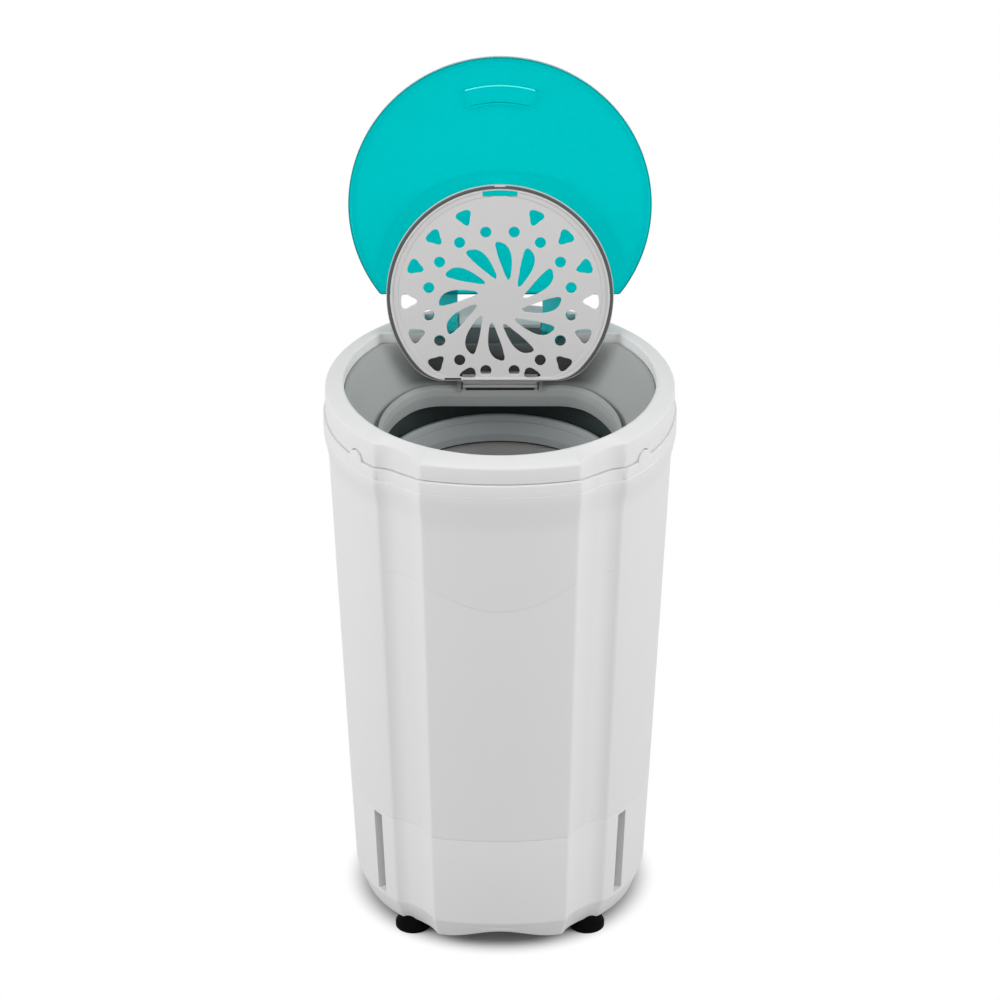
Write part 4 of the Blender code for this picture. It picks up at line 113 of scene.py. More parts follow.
def seen_directly(tree):
    """One for camera, gloss and clear rays, nought for the light that falls on things."""
    path = add_node(tree, "ShaderNodeLightPath")
    seen = math_node(tree, "MAXIMUM", path.outputs["Is Camera Ray"], path.outputs["Is Glossy Ray"])
    return math_node(tree, "MAXIMUM", seen, path.outputs["Is Transmission Ray"])


print("node helpers ready")

# %% [markdown]
# ## Light
# A product photograph like this one suggests a light tent: the object is lit from all round, but
# more from above and from both sides. Two large soft lamps stand left and right, high and a little
# in front, a weak third one lights the front and the inside of the drum, and a plain pale world
# fills the shadows. What the camera, a gloss or a clear lid sees is plain white, by the world's
# Light Path: that adds white reflections, but no other light.

# %% World and lamps
WORLD_LEVEL = 0.34
SIDE_LAMP_POWER = 63.0
FRONT_LAMP_POWER = 17.0
LAMP_SIZE = 2.2
LAMP_AIM = (0, AXIS_Y, 0.35)
LAMPS = {
    "lamp_left": ((-2.75, -0.95, 2.12), SIDE_LAMP_POWER),
    "lamp_right": ((2.75, -0.95, 2.12), SIDE_LAMP_POWER),
    "lamp_front": ((0, -3.05, 2.26), FRONT_LAMP_POWER),
}


def add_lamp(name, place, power):
    """A soft square lamp that looks at the middle of the dryer."""
    light = bpy.data.lights.new(name, "AREA")
    light.shape = "RECTANGLE"
    light.size = LAMP_SIZE
    light.size_y = LAMP_SIZE
    light.energy = power
    lamp = bpy.data.objects.new(name, light)
    lamp.location = place
    lamp.rotation_euler = (Vector(LAMP_AIM) - Vector(place)).to_track_quat("-Z", "Y").to_euler()
    bpy.context.collection.objects.link(lamp)
    lamp.visible_camera = False
    lamp.visible_glossy = False
    lamp.visible_transmission = False


def make_world():
    """Pale light for surfaces, plain white for what looks through or past the object."""
    world = bpy.data.worlds.new("light_tent")
    bpy.context.scene.world = world
    world.use_nodes = True
    tree = world.node_tree
    tree.nodes.clear()
    lit, plain = [add_node(tree, "ShaderNodeBackground", {"Color": WHITE, "Strength": strength})
                  for strength in (WORLD_LEVEL, 1.0)]
    shares = {0: seen_directly(tree), 1: lit.outputs[0], 2: plain.outputs[0]}
    mixed = add_node(tree, "ShaderNodeMixShader", shares)
    add_node(tree, "ShaderNodeOutputWorld", {"Surface": mixed.outputs[0]})


make_world()
for name, (place, power) in LAMPS.items():
    add_lamp(name, place, power)

# %% [markdown]
# ## Surface effects
# Shaders share a few effects: the skin of moulded plastic, the streaks of turned or rolled metal,
# the pitted skin of castings, stacked sheets and wound wire. Each is a node group with its own
# inputs, so that one change of it reaches every finish that uses it, and the shader itself stays
# in the material.

# %% Surface effects
def start_group(name, kind, inputs, outputs):
    """A node group with named sockets: inputs as (label, kind, value), outputs as (label, kind)."""
    tree = bpy.data.node_groups.new(name, kind)
    for label, socket_kind, value in inputs:
        socket = tree.interface.new_socket(label, in_out="INPUT", socket_type="NodeSocket" + socket_kind)
        if value is not None:
            socket.default_value = value
    for label, socket_kind in outputs:
        tree.interface.new_socket(label, in_out="OUTPUT", socket_type="NodeSocket" + socket_kind)
    return tree, tree.nodes.new("NodeGroupInput"), tree.nodes.new("NodeGroupOutput")


def noise(tree, scale, detail, stretch=None):
    """Noise on the object's own coordinates, stretched if wanted."""
    source = add_node(tree, "ShaderNodeTexCoord").outputs["Object"]
    if stretch:
        source = add_node(tree, "ShaderNodeMapping", {"Scale": stretch, "Vector": source}).outputs["Vector"]
    texture = add_node(tree, "ShaderNodeTexNoise", {"Vector": source, "Scale": scale, "Detail": detail})
    return texture.outputs["Fac"]


def spread_of(tree, source, amount):
    """A factor that swings round one with the noise: 1 - amount to 1 + amount."""
    swing = math_node(tree, "MULTIPLY", math_node(tree, "SUBTRACT", source, 0.5), 2.0)
    return math_node(tree, "MULTIPLY_ADD", swing, amount, 1.0)


def scaled(tree, first, second):
    """Two values multiplied, and kept between nought and one."""
    values = {0: first, 1: second}
    return add_node(tree, "ShaderNodeMath", values, operation="MULTIPLY", use_clamp=True).outputs[0]


SKIN_INPUTS = [
    ("Colour", "Color", (0.8, 0.8, 0.8, 1.0)), ("Roughness", "Float", 0.4), ("Variation", "Float", 0.02),
    ("Relief", "Float", 0.1),
]
SKIN_OUTPUTS = [("Colour", "Color"), ("Roughness", "Float"), ("Normal", "Vector")]


def skin_group(name, broad, fine, depth):
    """A surface with slow changes of tone and gloss and a fine relief.

    broad and fine are (scale, detail, stretch) of the two noises."""
    tree, given, result = start_group(name, "ShaderNodeTree", SKIN_INPUTS, SKIN_OUTPUTS)
    value = given.outputs
    quick = noise(tree, *fine)
    tone = spread_of(tree, noise(tree, *broad), value["Variation"])
    gloss = math_node(tree, "MULTIPLY", tone, spread_of(tree, quick, value["Variation"]))
    toned = add_node(tree, "ShaderNodeHueSaturation", {"Color": value["Colour"], "Value": tone})
    bump = add_node(tree, "ShaderNodeBump", {"Distance": depth, "Strength": value["Relief"], "Height": quick})
    tree.links.new(toned.outputs["Color"], result.inputs["Colour"])
    tree.links.new(scaled(tree, value["Roughness"], gloss), result.inputs["Roughness"])
    tree.links.new(bump.outputs["Normal"], result.inputs["Normal"])
    return tree


def add_finish(name, group, colour, roughness, variation, relief, shine=()):
    """A finish from a skin group and a Principled shader; shine holds other inputs of the shader."""
    made = bpy.data.materials.new(name)
    made.use_nodes = True
    made.diffuse_color = (*colour, 1.0)
    tree = made.node_tree
    shader = tree.nodes["Principled BSDF"]
    for label, value in dict(shine).items():
        shader.inputs[label].default_value = value
    surface = add_node(tree, "ShaderNodeGroup", {
        "Colour": (*colour, 1.0), "Roughness": roughness, "Variation": variation, "Relief": relief,
    }, node_tree=group)
    for label, target in (("Colour", "Base Color"), ("Roughness", "Roughness"), ("Normal", "Normal")):
        tree.links.new(surface.outputs[label], shader.inputs[target])
    return made


MOULDED = skin_group("moulded_skin", (9.0, 3.0), (1500.0, 2.0), 0.00008)
TURNED = skin_group("turned_streaks", (14.0, 2.0), (1.0, 2.0, (40.0, 40.0, 5200.0)), 0.00005)
ROLLED = skin_group("rolled_sheet", (30.0, 4.0), (700.0, 3.0), 0.00004)
PITTED = skin_group("cast_skin", (60.0, 3.0), (650.0, 4.0), 0.00025)
STACKED = skin_group("stacked_sheets", (25.0, 2.0), (1.0, 1.0, (60.0, 60.0, 2600.0)), 0.0002)
WOUND = skin_group("wound_wire", (30.0, 2.0), (1.0, 2.0, (220.0, 220.0, 2400.0)), 0.0004)
print("shared surface effects", [group.name for group in bpy.data.node_groups])

# %% [markdown]
# ## Finishes
# The casing is white polypropylene with a fine spark-eroded grain and a soft shine, the funnel and
# the inner lid are greys of the same plastic, and the funnel's grey turns dark round the inner lid's
# hinge as painted shade of the lids. The pocket of the hinge has a dark grey panel that is painted
# shade, and the floors of the side recesses have a grey that is painted shade. The big lid is clear
# teal, its arms have an even teal, its lower edge a dark teal strip of painted shade and the line of
# its finger recess a bright teal of painted highlight. Rubber is nearly black and dull. The drum is
# stainless steel with a satin skin, made half like metal so that it stays evenly light. Screws are
# zinc plated, the motor's shields are cast.

# %% Plastic, rubber and metal finishes
METAL = {"Metallic": 1.0}
CLEAR = {
    "Transmission Weight": 0.75, "IOR": 1.40, "Specular IOR Level": 0.2,
    "Specular Tint": (0.0, 1.0, 1.0, 1.0),
}
FINISH_ROWS = {
    "white_plastic": ("casing_white", MOULDED, (0.80, 0.80, 0.80), 0.48, 0.012, 0.10),
    "recess_grey": ("recess_grey", MOULDED, (0.42, 0.42, 0.42), 0.48, 0.012, 0.10),
    "funnel_grey": ("funnel_grey", MOULDED, (0.39, 0.41, 0.405), 0.46, 0.025, 0.14),
    "pocket_grey": ("pocket_grey", MOULDED, (0.22, 0.26, 0.27), 0.50, 0.03, 0.14),
    "tub_grey": ("tub_grey", MOULDED, (0.55, 0.56, 0.56), 0.50, 0.04, 0.14),
    "lid_grey_plastic": ("lid_grey", MOULDED, (0.66, 0.65, 0.65), 0.44, 0.015, 0.12),
    "tub_dark": ("tub_dark", MOULDED, (0.060, 0.080, 0.080), 0.50, 0.05, 0.14),
    "collar_grey": ("collar_grey", MOULDED, (0.50, 0.53, 0.54), 0.40, 0.03, 0.12),
    "dark_rubber": ("dark_rubber", MOULDED, (0.0025,) * 3, 0.72, 0.10, 0.35, {"Specular IOR Level": 0.05}),
    "gasket_rubber": ("gasket_rubber", MOULDED, (0.085, 0.086, 0.088), 0.55, 0.08, 0.25),
    "black_plastic": ("black_plastic", MOULDED, (0.028, 0.028, 0.030), 0.45, 0.08, 0.2),
    "drum_steel": ("drum_steel", TURNED, (0.62, 0.61, 0.59), 0.28, 0.05, 0.25, METAL),
    "satin_steel": ("satin_steel", TURNED, (0.80, 0.79, 0.78), 0.50, 0.04, 0.20, {"Metallic": 0.4}),
    "zinc_steel": ("zinc_steel", ROLLED, (0.66, 0.66, 0.62), 0.34, 0.08, 0.20, METAL),
    "cast_alloy": ("cast_alloy", PITTED, (0.52, 0.52, 0.53), 0.55, 0.08, 0.45, METAL),
    "lamination_steel": ("lamination_steel", STACKED, (0.25, 0.25, 0.26), 0.5, 0.10, 0.5, METAL),
    "enamelled_copper": ("enamelled_copper", WOUND, (0.55, 0.20, 0.07), 0.32, 0.10, 0.7,
                         {"Metallic": 1.0, "Coat Weight": 0.5}),
    "teal_clear_plastic": ("teal_clear", MOULDED, (0.0, 0.64, 0.65), 0.06, 0.02, 0.02, CLEAR),
    "arm_teal": ("arm_teal", MOULDED, (0.005, 0.62, 0.63), 0.25, 0.01, 0.04),
    "teal_rim": ("teal_rim", MOULDED, (0.0, 0.30, 0.31), 0.45, 0.01, 0.02, {"Specular IOR Level": 0.05}),
    "teal_edge": ("teal_edge", MOULDED, (0.08, 1.0, 1.0), 0.30, 0.01, 0.02),
}
# Painted shade of the lids on the funnel's rear round the inner lid's hinge: its dark tone and ramps.
FUNNEL_PAINTED_SHADE = (0.11, 0.12, 0.12)
FUNNEL_SHADE_RAMPS = (("X", 0.118, 0.070), ("Y", 0.074, 0.0885), ("Z", 0.544, 0.553))


def paint_shade_where(finish, dark, ramps):
    """Blend a finish to a darker tone by place, as painted shade: ramps are (axis, where it starts, where it
    is full).
    """
    tree = finish.node_tree
    surface = next(node for node in tree.nodes if node.type == "GROUP")
    place = add_node(tree, "ShaderNodeTexCoord").outputs["Object"]
    split = add_node(tree, "ShaderNodeSeparateXYZ", {0: place})
    mask = 1.0
    for axis, start, full in ramps:
        size = math_node(tree, "ABSOLUTE", split.outputs[axis])
        ramp = add_node(tree, "ShaderNodeMapRange", {"Value": size, "From Min": start, "From Max": full},
                        interpolation_type="SMOOTHSTEP")
        mask = scaled(tree, mask, ramp.outputs["Result"])
    own = tuple(surface.inputs["Colour"].default_value)
    blend = add_node(tree, "ShaderNodeMix", {0: mask, 6: own, 7: (*dark, 1.0)}, data_type="RGBA")
    tree.links.new(blend.outputs[2], surface.inputs["Colour"])


FINISHES = {name: add_finish(*row) for name, row in FINISH_ROWS.items()}
FINISHES["teal_clear_plastic"].diffuse_color = (0.0, 0.56, 0.56, 0.8)
# The funnel's grey turns dark round the inner lid's hinge: painted shade of the lids.
paint_shade_where(FINISHES["funnel_grey"], FUNNEL_PAINTED_SHADE, FUNNEL_SHADE_RAMPS)
print(len(FINISHES), "finishes")

# %% [markdown]
# ## Mesh helpers
# Nearly every shell of the dryer goes once round the axis while its section changes with the
# direction: the front is a flat panel with a flute on each side, the mouth has a straight rear. So
# a shell is described by a function that gives its section for one direction, as corners with a
# set-back that rounds them, and the sections are joined into a closed skin. Turned parts are the
# same with one section for all directions.

# %% Mesh helpers
SHARP_DEG = 35.0
OVERCUT = 0.01


def add_piece(name, shape, finish, sharp_deg=SHARP_DEG, place=None):
    """Turn a bmesh into an object at the origin, with its place in its mesh and normals outwards."""
    bmesh.ops.recalc_face_normals(shape, faces=shape.faces)
    if place is not None:
        bmesh.ops.transform(shape, matrix=place, verts=shape.verts)
    mesh = bpy.data.meshes.new(name)
    shape.to_mesh(mesh)
    shape.free()
    mesh.shade_smooth()
    mesh.set_sharp_from_angle(angle=math.radians(sharp_deg))
    if finish:
        mesh.materials.append(FINISHES[finish])
    piece = bpy.data.objects.new(name, mesh)
    bpy.context.collection.objects.link(piece)
    return piece


def keep_result(piece):
    """Write the modifiers' result into the piece's own mesh."""
    graph = bpy.context.evaluated_depsgraph_get()
    done = bpy.data.meshes.new_from_object(piece.evaluated_get(graph))
    piece.modifiers.clear()
    piece.data = done
    done.shade_smooth()
    done.set_sharp_from_angle(angle=math.radians(SHARP_DEG))


def combine(piece, shape, operation):
    """Join or cut a bmesh with an exact Boolean, and keep the result."""
    guide = add_piece("guide", shape, None)
    change = piece.modifiers.new("combine", "BOOLEAN")
    change.operation = operation
    change.solver = "EXACT"
    change.object = guide
    keep_result(piece)
    bpy.data.objects.remove(guide, do_unlink=True)


def join(piece, shape):
    """Fuse a shape into the piece."""
    combine(piece, shape, "UNION")


def cut(piece, shape):
    """Cut a shape out of the piece."""
    combine(piece, shape, "DIFFERENCE")


def both_sides(inner, outer):
    """The two spans from inner to outer on the left and on the right, each as (low, high)."""
    return (-outer, -inner), (inner, outer)


def dress(piece, body, slot, *nodes):
    """Let the piece stand for solids and move with their body; the slot is not used."""
    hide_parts(*nodes)
    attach(piece, body)
    print(piece.name, "stands for", ", ".join(nodes), "with", len(piece.data.polygons), "faces")


def polar_point(azimuth, radius, height):
    """A point by its direction from the front, its distance from the spin axis and its height."""
    angle = math.radians(azimuth)
    return (radius * math.sin(angle), AXIS_Y - radius * math.cos(angle), height)


def softened(corners, steps=3):
    """A closed section with rounded corners; each corner is (radius, height, set-back)."""
    points = []
    for index, (radius, height, setback) in enumerate(corners):
        here = Vector((radius, height))
        if not setback:
            points.append(here)
            continue
        before = Vector(corners[index - 1][:2]) - here
        after = Vector(corners[(index + 1) % len(corners)][:2]) - here
        start = here + before.normalized() * min(setback, before.length * 0.45)
        end = here + after.normalized() * min(setback, after.length * 0.45)
        for step in range(steps + 1):
            t = step / steps
            points.append(start * (1 - t) ** 2 + here * 2 * t * (1 - t) + end * t ** 2)
    return points


def skin(rows, closed_rows=True):
    """Join rows of equally many points into a closed skin."""
    shape = bmesh.new()
    made = [[shape.verts.new(point) for point in row] for row in rows]
    count = len(made[0])
    pairs = list(zip(made, made[1:] + made[:1])) if closed_rows else list(zip(made, made[1:]))
    for first, second in pairs:
        for index in range(count):
            following = (index + 1) % count
            shape.faces.new((first[index], first[following], second[following], second[index]))
    if not closed_rows:
        shape.faces.new(made[0])
        shape.faces.new(made[-1])
    return shape


def shell(azimuths, section):
    """A shell round the axis: section(azimuth) gives its corners in that direction."""
    rows = []
    for azimuth in azimuths:
        rows.append([polar_point(azimuth, point.x, point.y) for point in softened(section(azimuth))])
    return skin(rows)


def turned(corners, steps=96, place=None):
    """A turned part; its section doesn't touch the axis."""
    points = softened(corners)
    rows = []
    for index in range(steps):
        angle = 2 * math.pi * index / steps
        rows.append([(point.x * math.cos(angle), point.x * math.sin(angle), point.y) for point in points])
    shape = skin(rows)
    bmesh.ops.transform(shape, matrix=place or Matrix.Translation((0, AXIS_Y, 0)), verts=shape.verts)
    return shape


def rod(radius, low, high, place, steps=32, edge=0.0):
    """A solid cylinder along the local Z, with a rounded edge."""
    profile = [(radius - edge, low), (radius, low + edge), (radius, high - edge), (radius - edge, high)]
    if not edge:
        profile = [(radius, low), (radius, high)]
    rows = []
    for reach, height in profile:
        angles = [2 * math.pi * index / steps for index in range(steps)]
        rows.append([(reach * math.cos(a), reach * math.sin(a), height) for a in angles])
    shape = skin(rows, closed_rows=False)
    bmesh.ops.transform(shape, matrix=place, verts=shape.verts)
    return shape


def along_x(radius, low, high, y, z, steps=32, edge=0.0):
    """A cylinder lying along X."""
    place = Matrix.Translation((0, y, z)) @ Matrix.Rotation(math.pi / 2, 4, "Y")
    return rod(radius, low, high, place, steps, edge)


def block(low, high, edge=0.0):
    """A box between two corners, with bevelled edges."""
    shape = bmesh.new()
    centre = [(a + b) / 2 for a, b in zip(low, high)]
    size = [b - a for a, b in zip(low, high)]
    bmesh.ops.create_cube(shape, size=1, matrix=Matrix.Translation(centre) @ Matrix.Diagonal((*size, 1)))
    if edge:
        bmesh.ops.bevel(shape, geom=shape.edges[:], offset=edge, segments=2, profile=0.5, affect="EDGES")
    return shape


def prism(outline, low, high):
    """A flat outline extruded from one height to another."""
    shape = bmesh.new()
    face = shape.faces.new([shape.verts.new((x, y, low)) for x, y in outline])
    grown_part = bmesh.ops.extrude_face_region(shape, geom=[face])
    moved = [item for item in grown_part["geom"] if isinstance(item, bmesh.types.BMVert)]
    bmesh.ops.translate(shape, vec=(0, 0, high - low), verts=moved)
    return shape


def side_prism(outline, low_x, high_x):
    """A (y, z) outline extruded along X."""
    shape = prism(outline, low_x, high_x)
    turn = Matrix(((0, 0, 1, 0), (1, 0, 0, 0), (0, 1, 0, 0), (0, 0, 0, 1)))
    bmesh.ops.transform(shape, matrix=turn, verts=shape.verts)
    return shape


def spread(breaks, steps):
    """Directions on both sides of the front, evenly spaced between the given ones."""
    right = [breaks[0]]
    for start, end, count in zip(breaks, breaks[1:], steps):
        right += [start + (end - start) * index / count for index in range(1, count + 1)]
    return right + [-angle for angle in reversed(right[1:-1])]


print("mesh helpers ready")

# %% [markdown]
# ## The casing's outline
# In plan the casing is round, but the front is a flatter panel with a shallow flute on each side.
# The outline is written as a share of the round radius for each direction. It is averaged over
# about a degree and a half, which gives the panel's edges the soft radius of moulded edges.

# %% Outline, mouth and seam
PANEL_EDGE_DEG = 25.8
FLUTE_EDGE_DEG = 45.2
PANEL_FRONT_SHARE = 1.005
PANEL_ARC_SHARE = 1.75
FLUTE_DEPTH_SHARE = 0.0590
FLUTE_FLATNESS = 2.7
EDGE_SOFTNESS_DEGS = (-0.7, -0.45, -0.22, 0.0, 0.22, 0.45, 0.7)
FRONT_SEAM_HEIGHT = 0.5815
SIDE_SEAM_HEIGHT = 0.5718
SEAM_FALL_DEG = 5.0
TAB_DEG = 54.3
TAB_HALF_DEG = 3.3
TAB_RISE = 0.0093


def panel_share(angle):
    """The front panel is a flatter arc than the rest of the casing."""
    centre = PANEL_ARC_SHARE - PANEL_FRONT_SHARE
    reach = centre * math.cos(math.radians(angle))
    return math.sqrt(reach ** 2 + PANEL_ARC_SHARE ** 2 - centre ** 2) - reach


def plain_share(azimuth):
    """The outline with sharp edges."""
    angle = abs(azimuth)
    if angle <= PANEL_EDGE_DEG:
        return panel_share(angle)
    if angle <= FLUTE_EDGE_DEG:
        along = (angle - PANEL_EDGE_DEG) / (FLUTE_EDGE_DEG - PANEL_EDGE_DEG)
        edge = panel_share(PANEL_EDGE_DEG) * (1 - along) + along
        return edge - FLUTE_DEPTH_SHARE * (1 - abs(2 * along - 1) ** FLUTE_FLATNESS)
    return 1.0


def casing_share(azimuth):
    """The outline with its edges softened."""
    return sum(plain_share(azimuth + turn) for turn in EDGE_SOFTNESS_DEGS) / len(EDGE_SOFTNESS_DEGS)


def d_radius(azimuth, radius, chord, corner):
    """Distance from the axis to a circle with a flat rear side and rounded corners."""
    ray = Vector((math.sin(math.radians(azimuth)), -math.cos(math.radians(azimuth))))
    centre_y = chord - corner
    centre_x = math.sqrt((radius - corner) ** 2 - centre_y ** 2)
    flat_end = math.degrees(math.atan2(centre_x, -chord))
    arc_end = math.degrees(math.atan2(centre_x, -centre_y))
    angle = abs(azimuth)
    if angle <= arc_end:
        return radius
    if angle >= flat_end:
        return chord / ray.y
    centre = Vector((math.copysign(centre_x, azimuth), centre_y))
    along = ray.dot(centre)
    return along + math.sqrt(along ** 2 - centre.length_squared + corner ** 2)


def mouth_radius(azimuth, growth=0.0):
    """The mouth's outline, grown outwards by a distance with the same corner."""
    return d_radius(azimuth, MOUTH_RADIUS + growth, MOUTH_CHORD + growth, MOUTH_CORNER)


def opening_radius(azimuth, growth=0.0):
    """The outline of the opening in the funnel, grown outwards by a distance."""
    return d_radius(azimuth, OPENING_RADIUS + growth, OPENING_CHORD + growth, OPENING_CORNER + growth)


def seam_height(azimuth):
    """The seam between ring and cabinet climbs across each flute to the front panel."""
    beyond = max(0.0, abs(azimuth) - PANEL_EDGE_DEG)
    return SIDE_SEAM_HEIGHT + (FRONT_SEAM_HEIGHT - SIDE_SEAM_HEIGHT) * math.exp(-beyond / SEAM_FALL_DEG)


def tab_rise(azimuth):
    """A half-round tab of the cabinet reaches up into the ring on each side."""
    away = abs(abs(azimuth) - TAB_DEG) / TAB_HALF_DEG
    return TAB_RISE * math.sqrt(1 - away ** 2) if away < 1 else 0.0


CASING_AZIMUTHS = spread(
    (0.0, 24.3, 27.3, 30.0, 43.5, 46.8, 50.6, 58.0, 127.5, 132.5, 180.0),
    (10, 10, 6, 14, 10, 4, 32, 26, 14, 16),
)
print(len(CASING_AZIMUTHS), "directions round the casing")

# %% [markdown]
# ## Cabinet
# The cabinet is one deep moulding that tapers down to the base. A collar band under the seam
# stands a little proud, a thin groove marks its lower edge, and a faint embossed line hangs across
# the front like a smile: a small step that fades out a centimetre lower. The seam to the base is
# tight and shows as a faint line. The rows of the mesh follow these lines, so they need no
# cutting.

# %% Cabinet
COLLAR_RADIUS = 0.18348
WALL_TOP_RADIUS = 0.1782
WALL_TOP_HEIGHT = 0.5265
BASE_SEAM_RADIUS = 0.1586
BASE_SEAM_HEIGHT = 0.1430
SHELL_WALL = 0.0028
SEAM_GROOVE = 0.0012
BAND_DEPTH = 0.0140
BAND_GROOVE = 0.0005
BAND_GROOVE_HALF = 0.0006
BAND_SINK = 0.0001
COLLAR_DRAFT = 0.0004
COLLAR_FALL = 0.0230
SHOULDER_FALL = 0.012
SEAM_APPROACH = 0.003
SEAM_SOFTNESS = 0.0002
INNER_TOP_GAP = 0.0022
INNER_TOP_FALL = 0.030
SMILE_BOTTOM = 0.4270
SMILE_RISE = 0.0279
SMILE_HALF_WIDTH = 0.0757
SMILE_DIP = 0.0065
SMILE_DIP_DEG = 4.0
SMILE_END_DEG = 43.0
SMILE_RELIEF = 0.00045
SMILE_STEP = 0.0006
SMILE_FADE = 0.0100


def wall_radius(height):
    """The cabinet's tapered wall."""
    along = (height - BASE_SEAM_HEIGHT) / (WALL_TOP_HEIGHT - BASE_SEAM_HEIGHT)
    return BASE_SEAM_RADIUS + (WALL_TOP_RADIUS - BASE_SEAM_RADIUS) * along


def smile_height(azimuth):
    """Height of the embossed line in one direction."""
    across = WALL_TOP_RADIUS * math.sin(math.radians(min(abs(azimuth), PANEL_EDGE_DEG)))
    beyond = max(0.0, abs(azimuth) - PANEL_EDGE_DEG)
    climb = min(1.0, across / SMILE_HALF_WIDTH) ** 2
    return SMILE_BOTTOM + SMILE_RISE * climb - SMILE_DIP * (1 - math.exp(-beyond / SMILE_DIP_DEG))


def cabinet_section(azimuth):
    """The cabinet's wall in one direction, from the seam down outside and up inside."""
    share = casing_share(azimuth)
    seam = seam_height(azimuth)
    top = seam - SEAM_GROOVE + tab_rise(azimuth)
    band = seam - BAND_DEPTH
    smile = smile_height(azimuth)
    relief = SMILE_RELIEF * max(0.0, min(1.0, SMILE_END_DEG - abs(azimuth)))
    collar_reach = COLLAR_RADIUS * share
    inner_top = collar_reach - SHELL_WALL - INNER_TOP_GAP
    wall = [(WALL_TOP_HEIGHT - SHOULDER_FALL, 0.0), (smile + 3 * SMILE_STEP, 0.0), (smile + SMILE_STEP, 0.0),
            (smile, relief), (smile - 2 * SMILE_STEP, 0.9 * relief), (smile - SMILE_FADE, 0.0),
            (BASE_SEAM_HEIGHT + SEAM_APPROACH, 0.0)]
    return [
        (collar_reach, top, 0.0008),
        (collar_reach, band + BAND_GROOVE_HALF, 0.0),
        (collar_reach - BAND_GROOVE, band, 0.0),
        (collar_reach - BAND_SINK, band - BAND_GROOVE_HALF, 0.0),
        ((COLLAR_RADIUS - COLLAR_DRAFT) * share, seam - COLLAR_FALL, 0.004),
        (WALL_TOP_RADIUS * share, WALL_TOP_HEIGHT, 0.006),
        *[(wall_radius(height) * share - sunk, height, 0.0) for height, sunk in wall],
        (BASE_SEAM_RADIUS * share, BASE_SEAM_HEIGHT, SEAM_SOFTNESS),
        (BASE_SEAM_RADIUS * share - SHELL_WALL, BASE_SEAM_HEIGHT, 0.0),
        (WALL_TOP_RADIUS * share - SHELL_WALL, WALL_TOP_HEIGHT, 0.0),
        (inner_top, seam - INNER_TOP_FALL, 0.0),
        (inner_top, top, 0.0),
    ]


cabinet = add_piece("cabinet_shell", shell(CASING_AZIMUTHS, cabinet_section), "white_plastic")
dress(cabinet, "casing", "white_plastic", "cabinet")

# %% [markdown]
# ## Base skirt
# The lowest moulding carries on the cabinet's taper down to a crease and a chamfer above the feet,
# and is arched a little at the front. On each side it has an upright finger recess, whose floor is
# a piece of its own in a grey that is painted shade of the deep recess. Outlet and cable gland pass
# through its rear.

# %% Base skirt
SKIRT_INSET = 0.0001
CREASE_HEIGHT = 0.0380
CREASE_RADIUS = 0.1527
BOTTOM_HEIGHT = 0.0148
BOTTOM_RADIUS = 0.1432
ARCH_RISE = 0.0084
ARCH_HALF_DEG = 24.0
RECESS_DEG = 54.3
RECESS_WIDTH = 0.0135
RECESS_DEPTH = 0.0120
RECESS_TOP = 0.1390
RECESS_BOTTOM = 0.0420
RECESS_WALL = 0.0024
RECESS_LAP = 0.001
RECESS_TOP_LAP = 0.0015
RECESS_FLOOR_SPAN = (0.0004, 0.0006)
FLANGE_WALL_RADIUS = 0.1501
SHELF_WALL_RADIUS = 0.1577
LIP_GAP = 0.0004
LIP_THICKNESS = 0.0022
LIP_RISE = 0.0080
GLAND_CUT_START = 0.140
DRAIN_CUT_START = 0.095
REAR_CUT_END = 0.165
FLANGE_LOW = 0.0248
FLANGE_HIGH = 0.0278
FLANGE_INNER_RADIUS = 0.1200
SHELF_LOW = 0.1407
SHELF_HIGH = 0.1437
SHELF_INNER_RADIUS = 0.1290
GLAND_HEIGHT = 0.0750
GLAND_HOLE_RADIUS = 0.0084
DRAIN_X = -0.0740
DRAIN_HEIGHT = 0.1060
DRAIN_HOLE_RADIUS = 0.0129


def skirt_radius(height):
    """The base skirt's tapered wall."""
    top = BASE_SEAM_RADIUS - SKIRT_INSET
    along = (height - CREASE_HEIGHT) / (BASE_SEAM_HEIGHT - CREASE_HEIGHT)
    return CREASE_RADIUS + (top - CREASE_RADIUS) * along


def skirt_bottom(azimuth):
    """The skirt's lower edge, arched a little under the front panel."""
    along = min(1, abs(azimuth) / ARCH_HALF_DEG)
    return BOTTOM_HEIGHT + ARCH_RISE * math.cos(along * math.pi / 2) ** 2


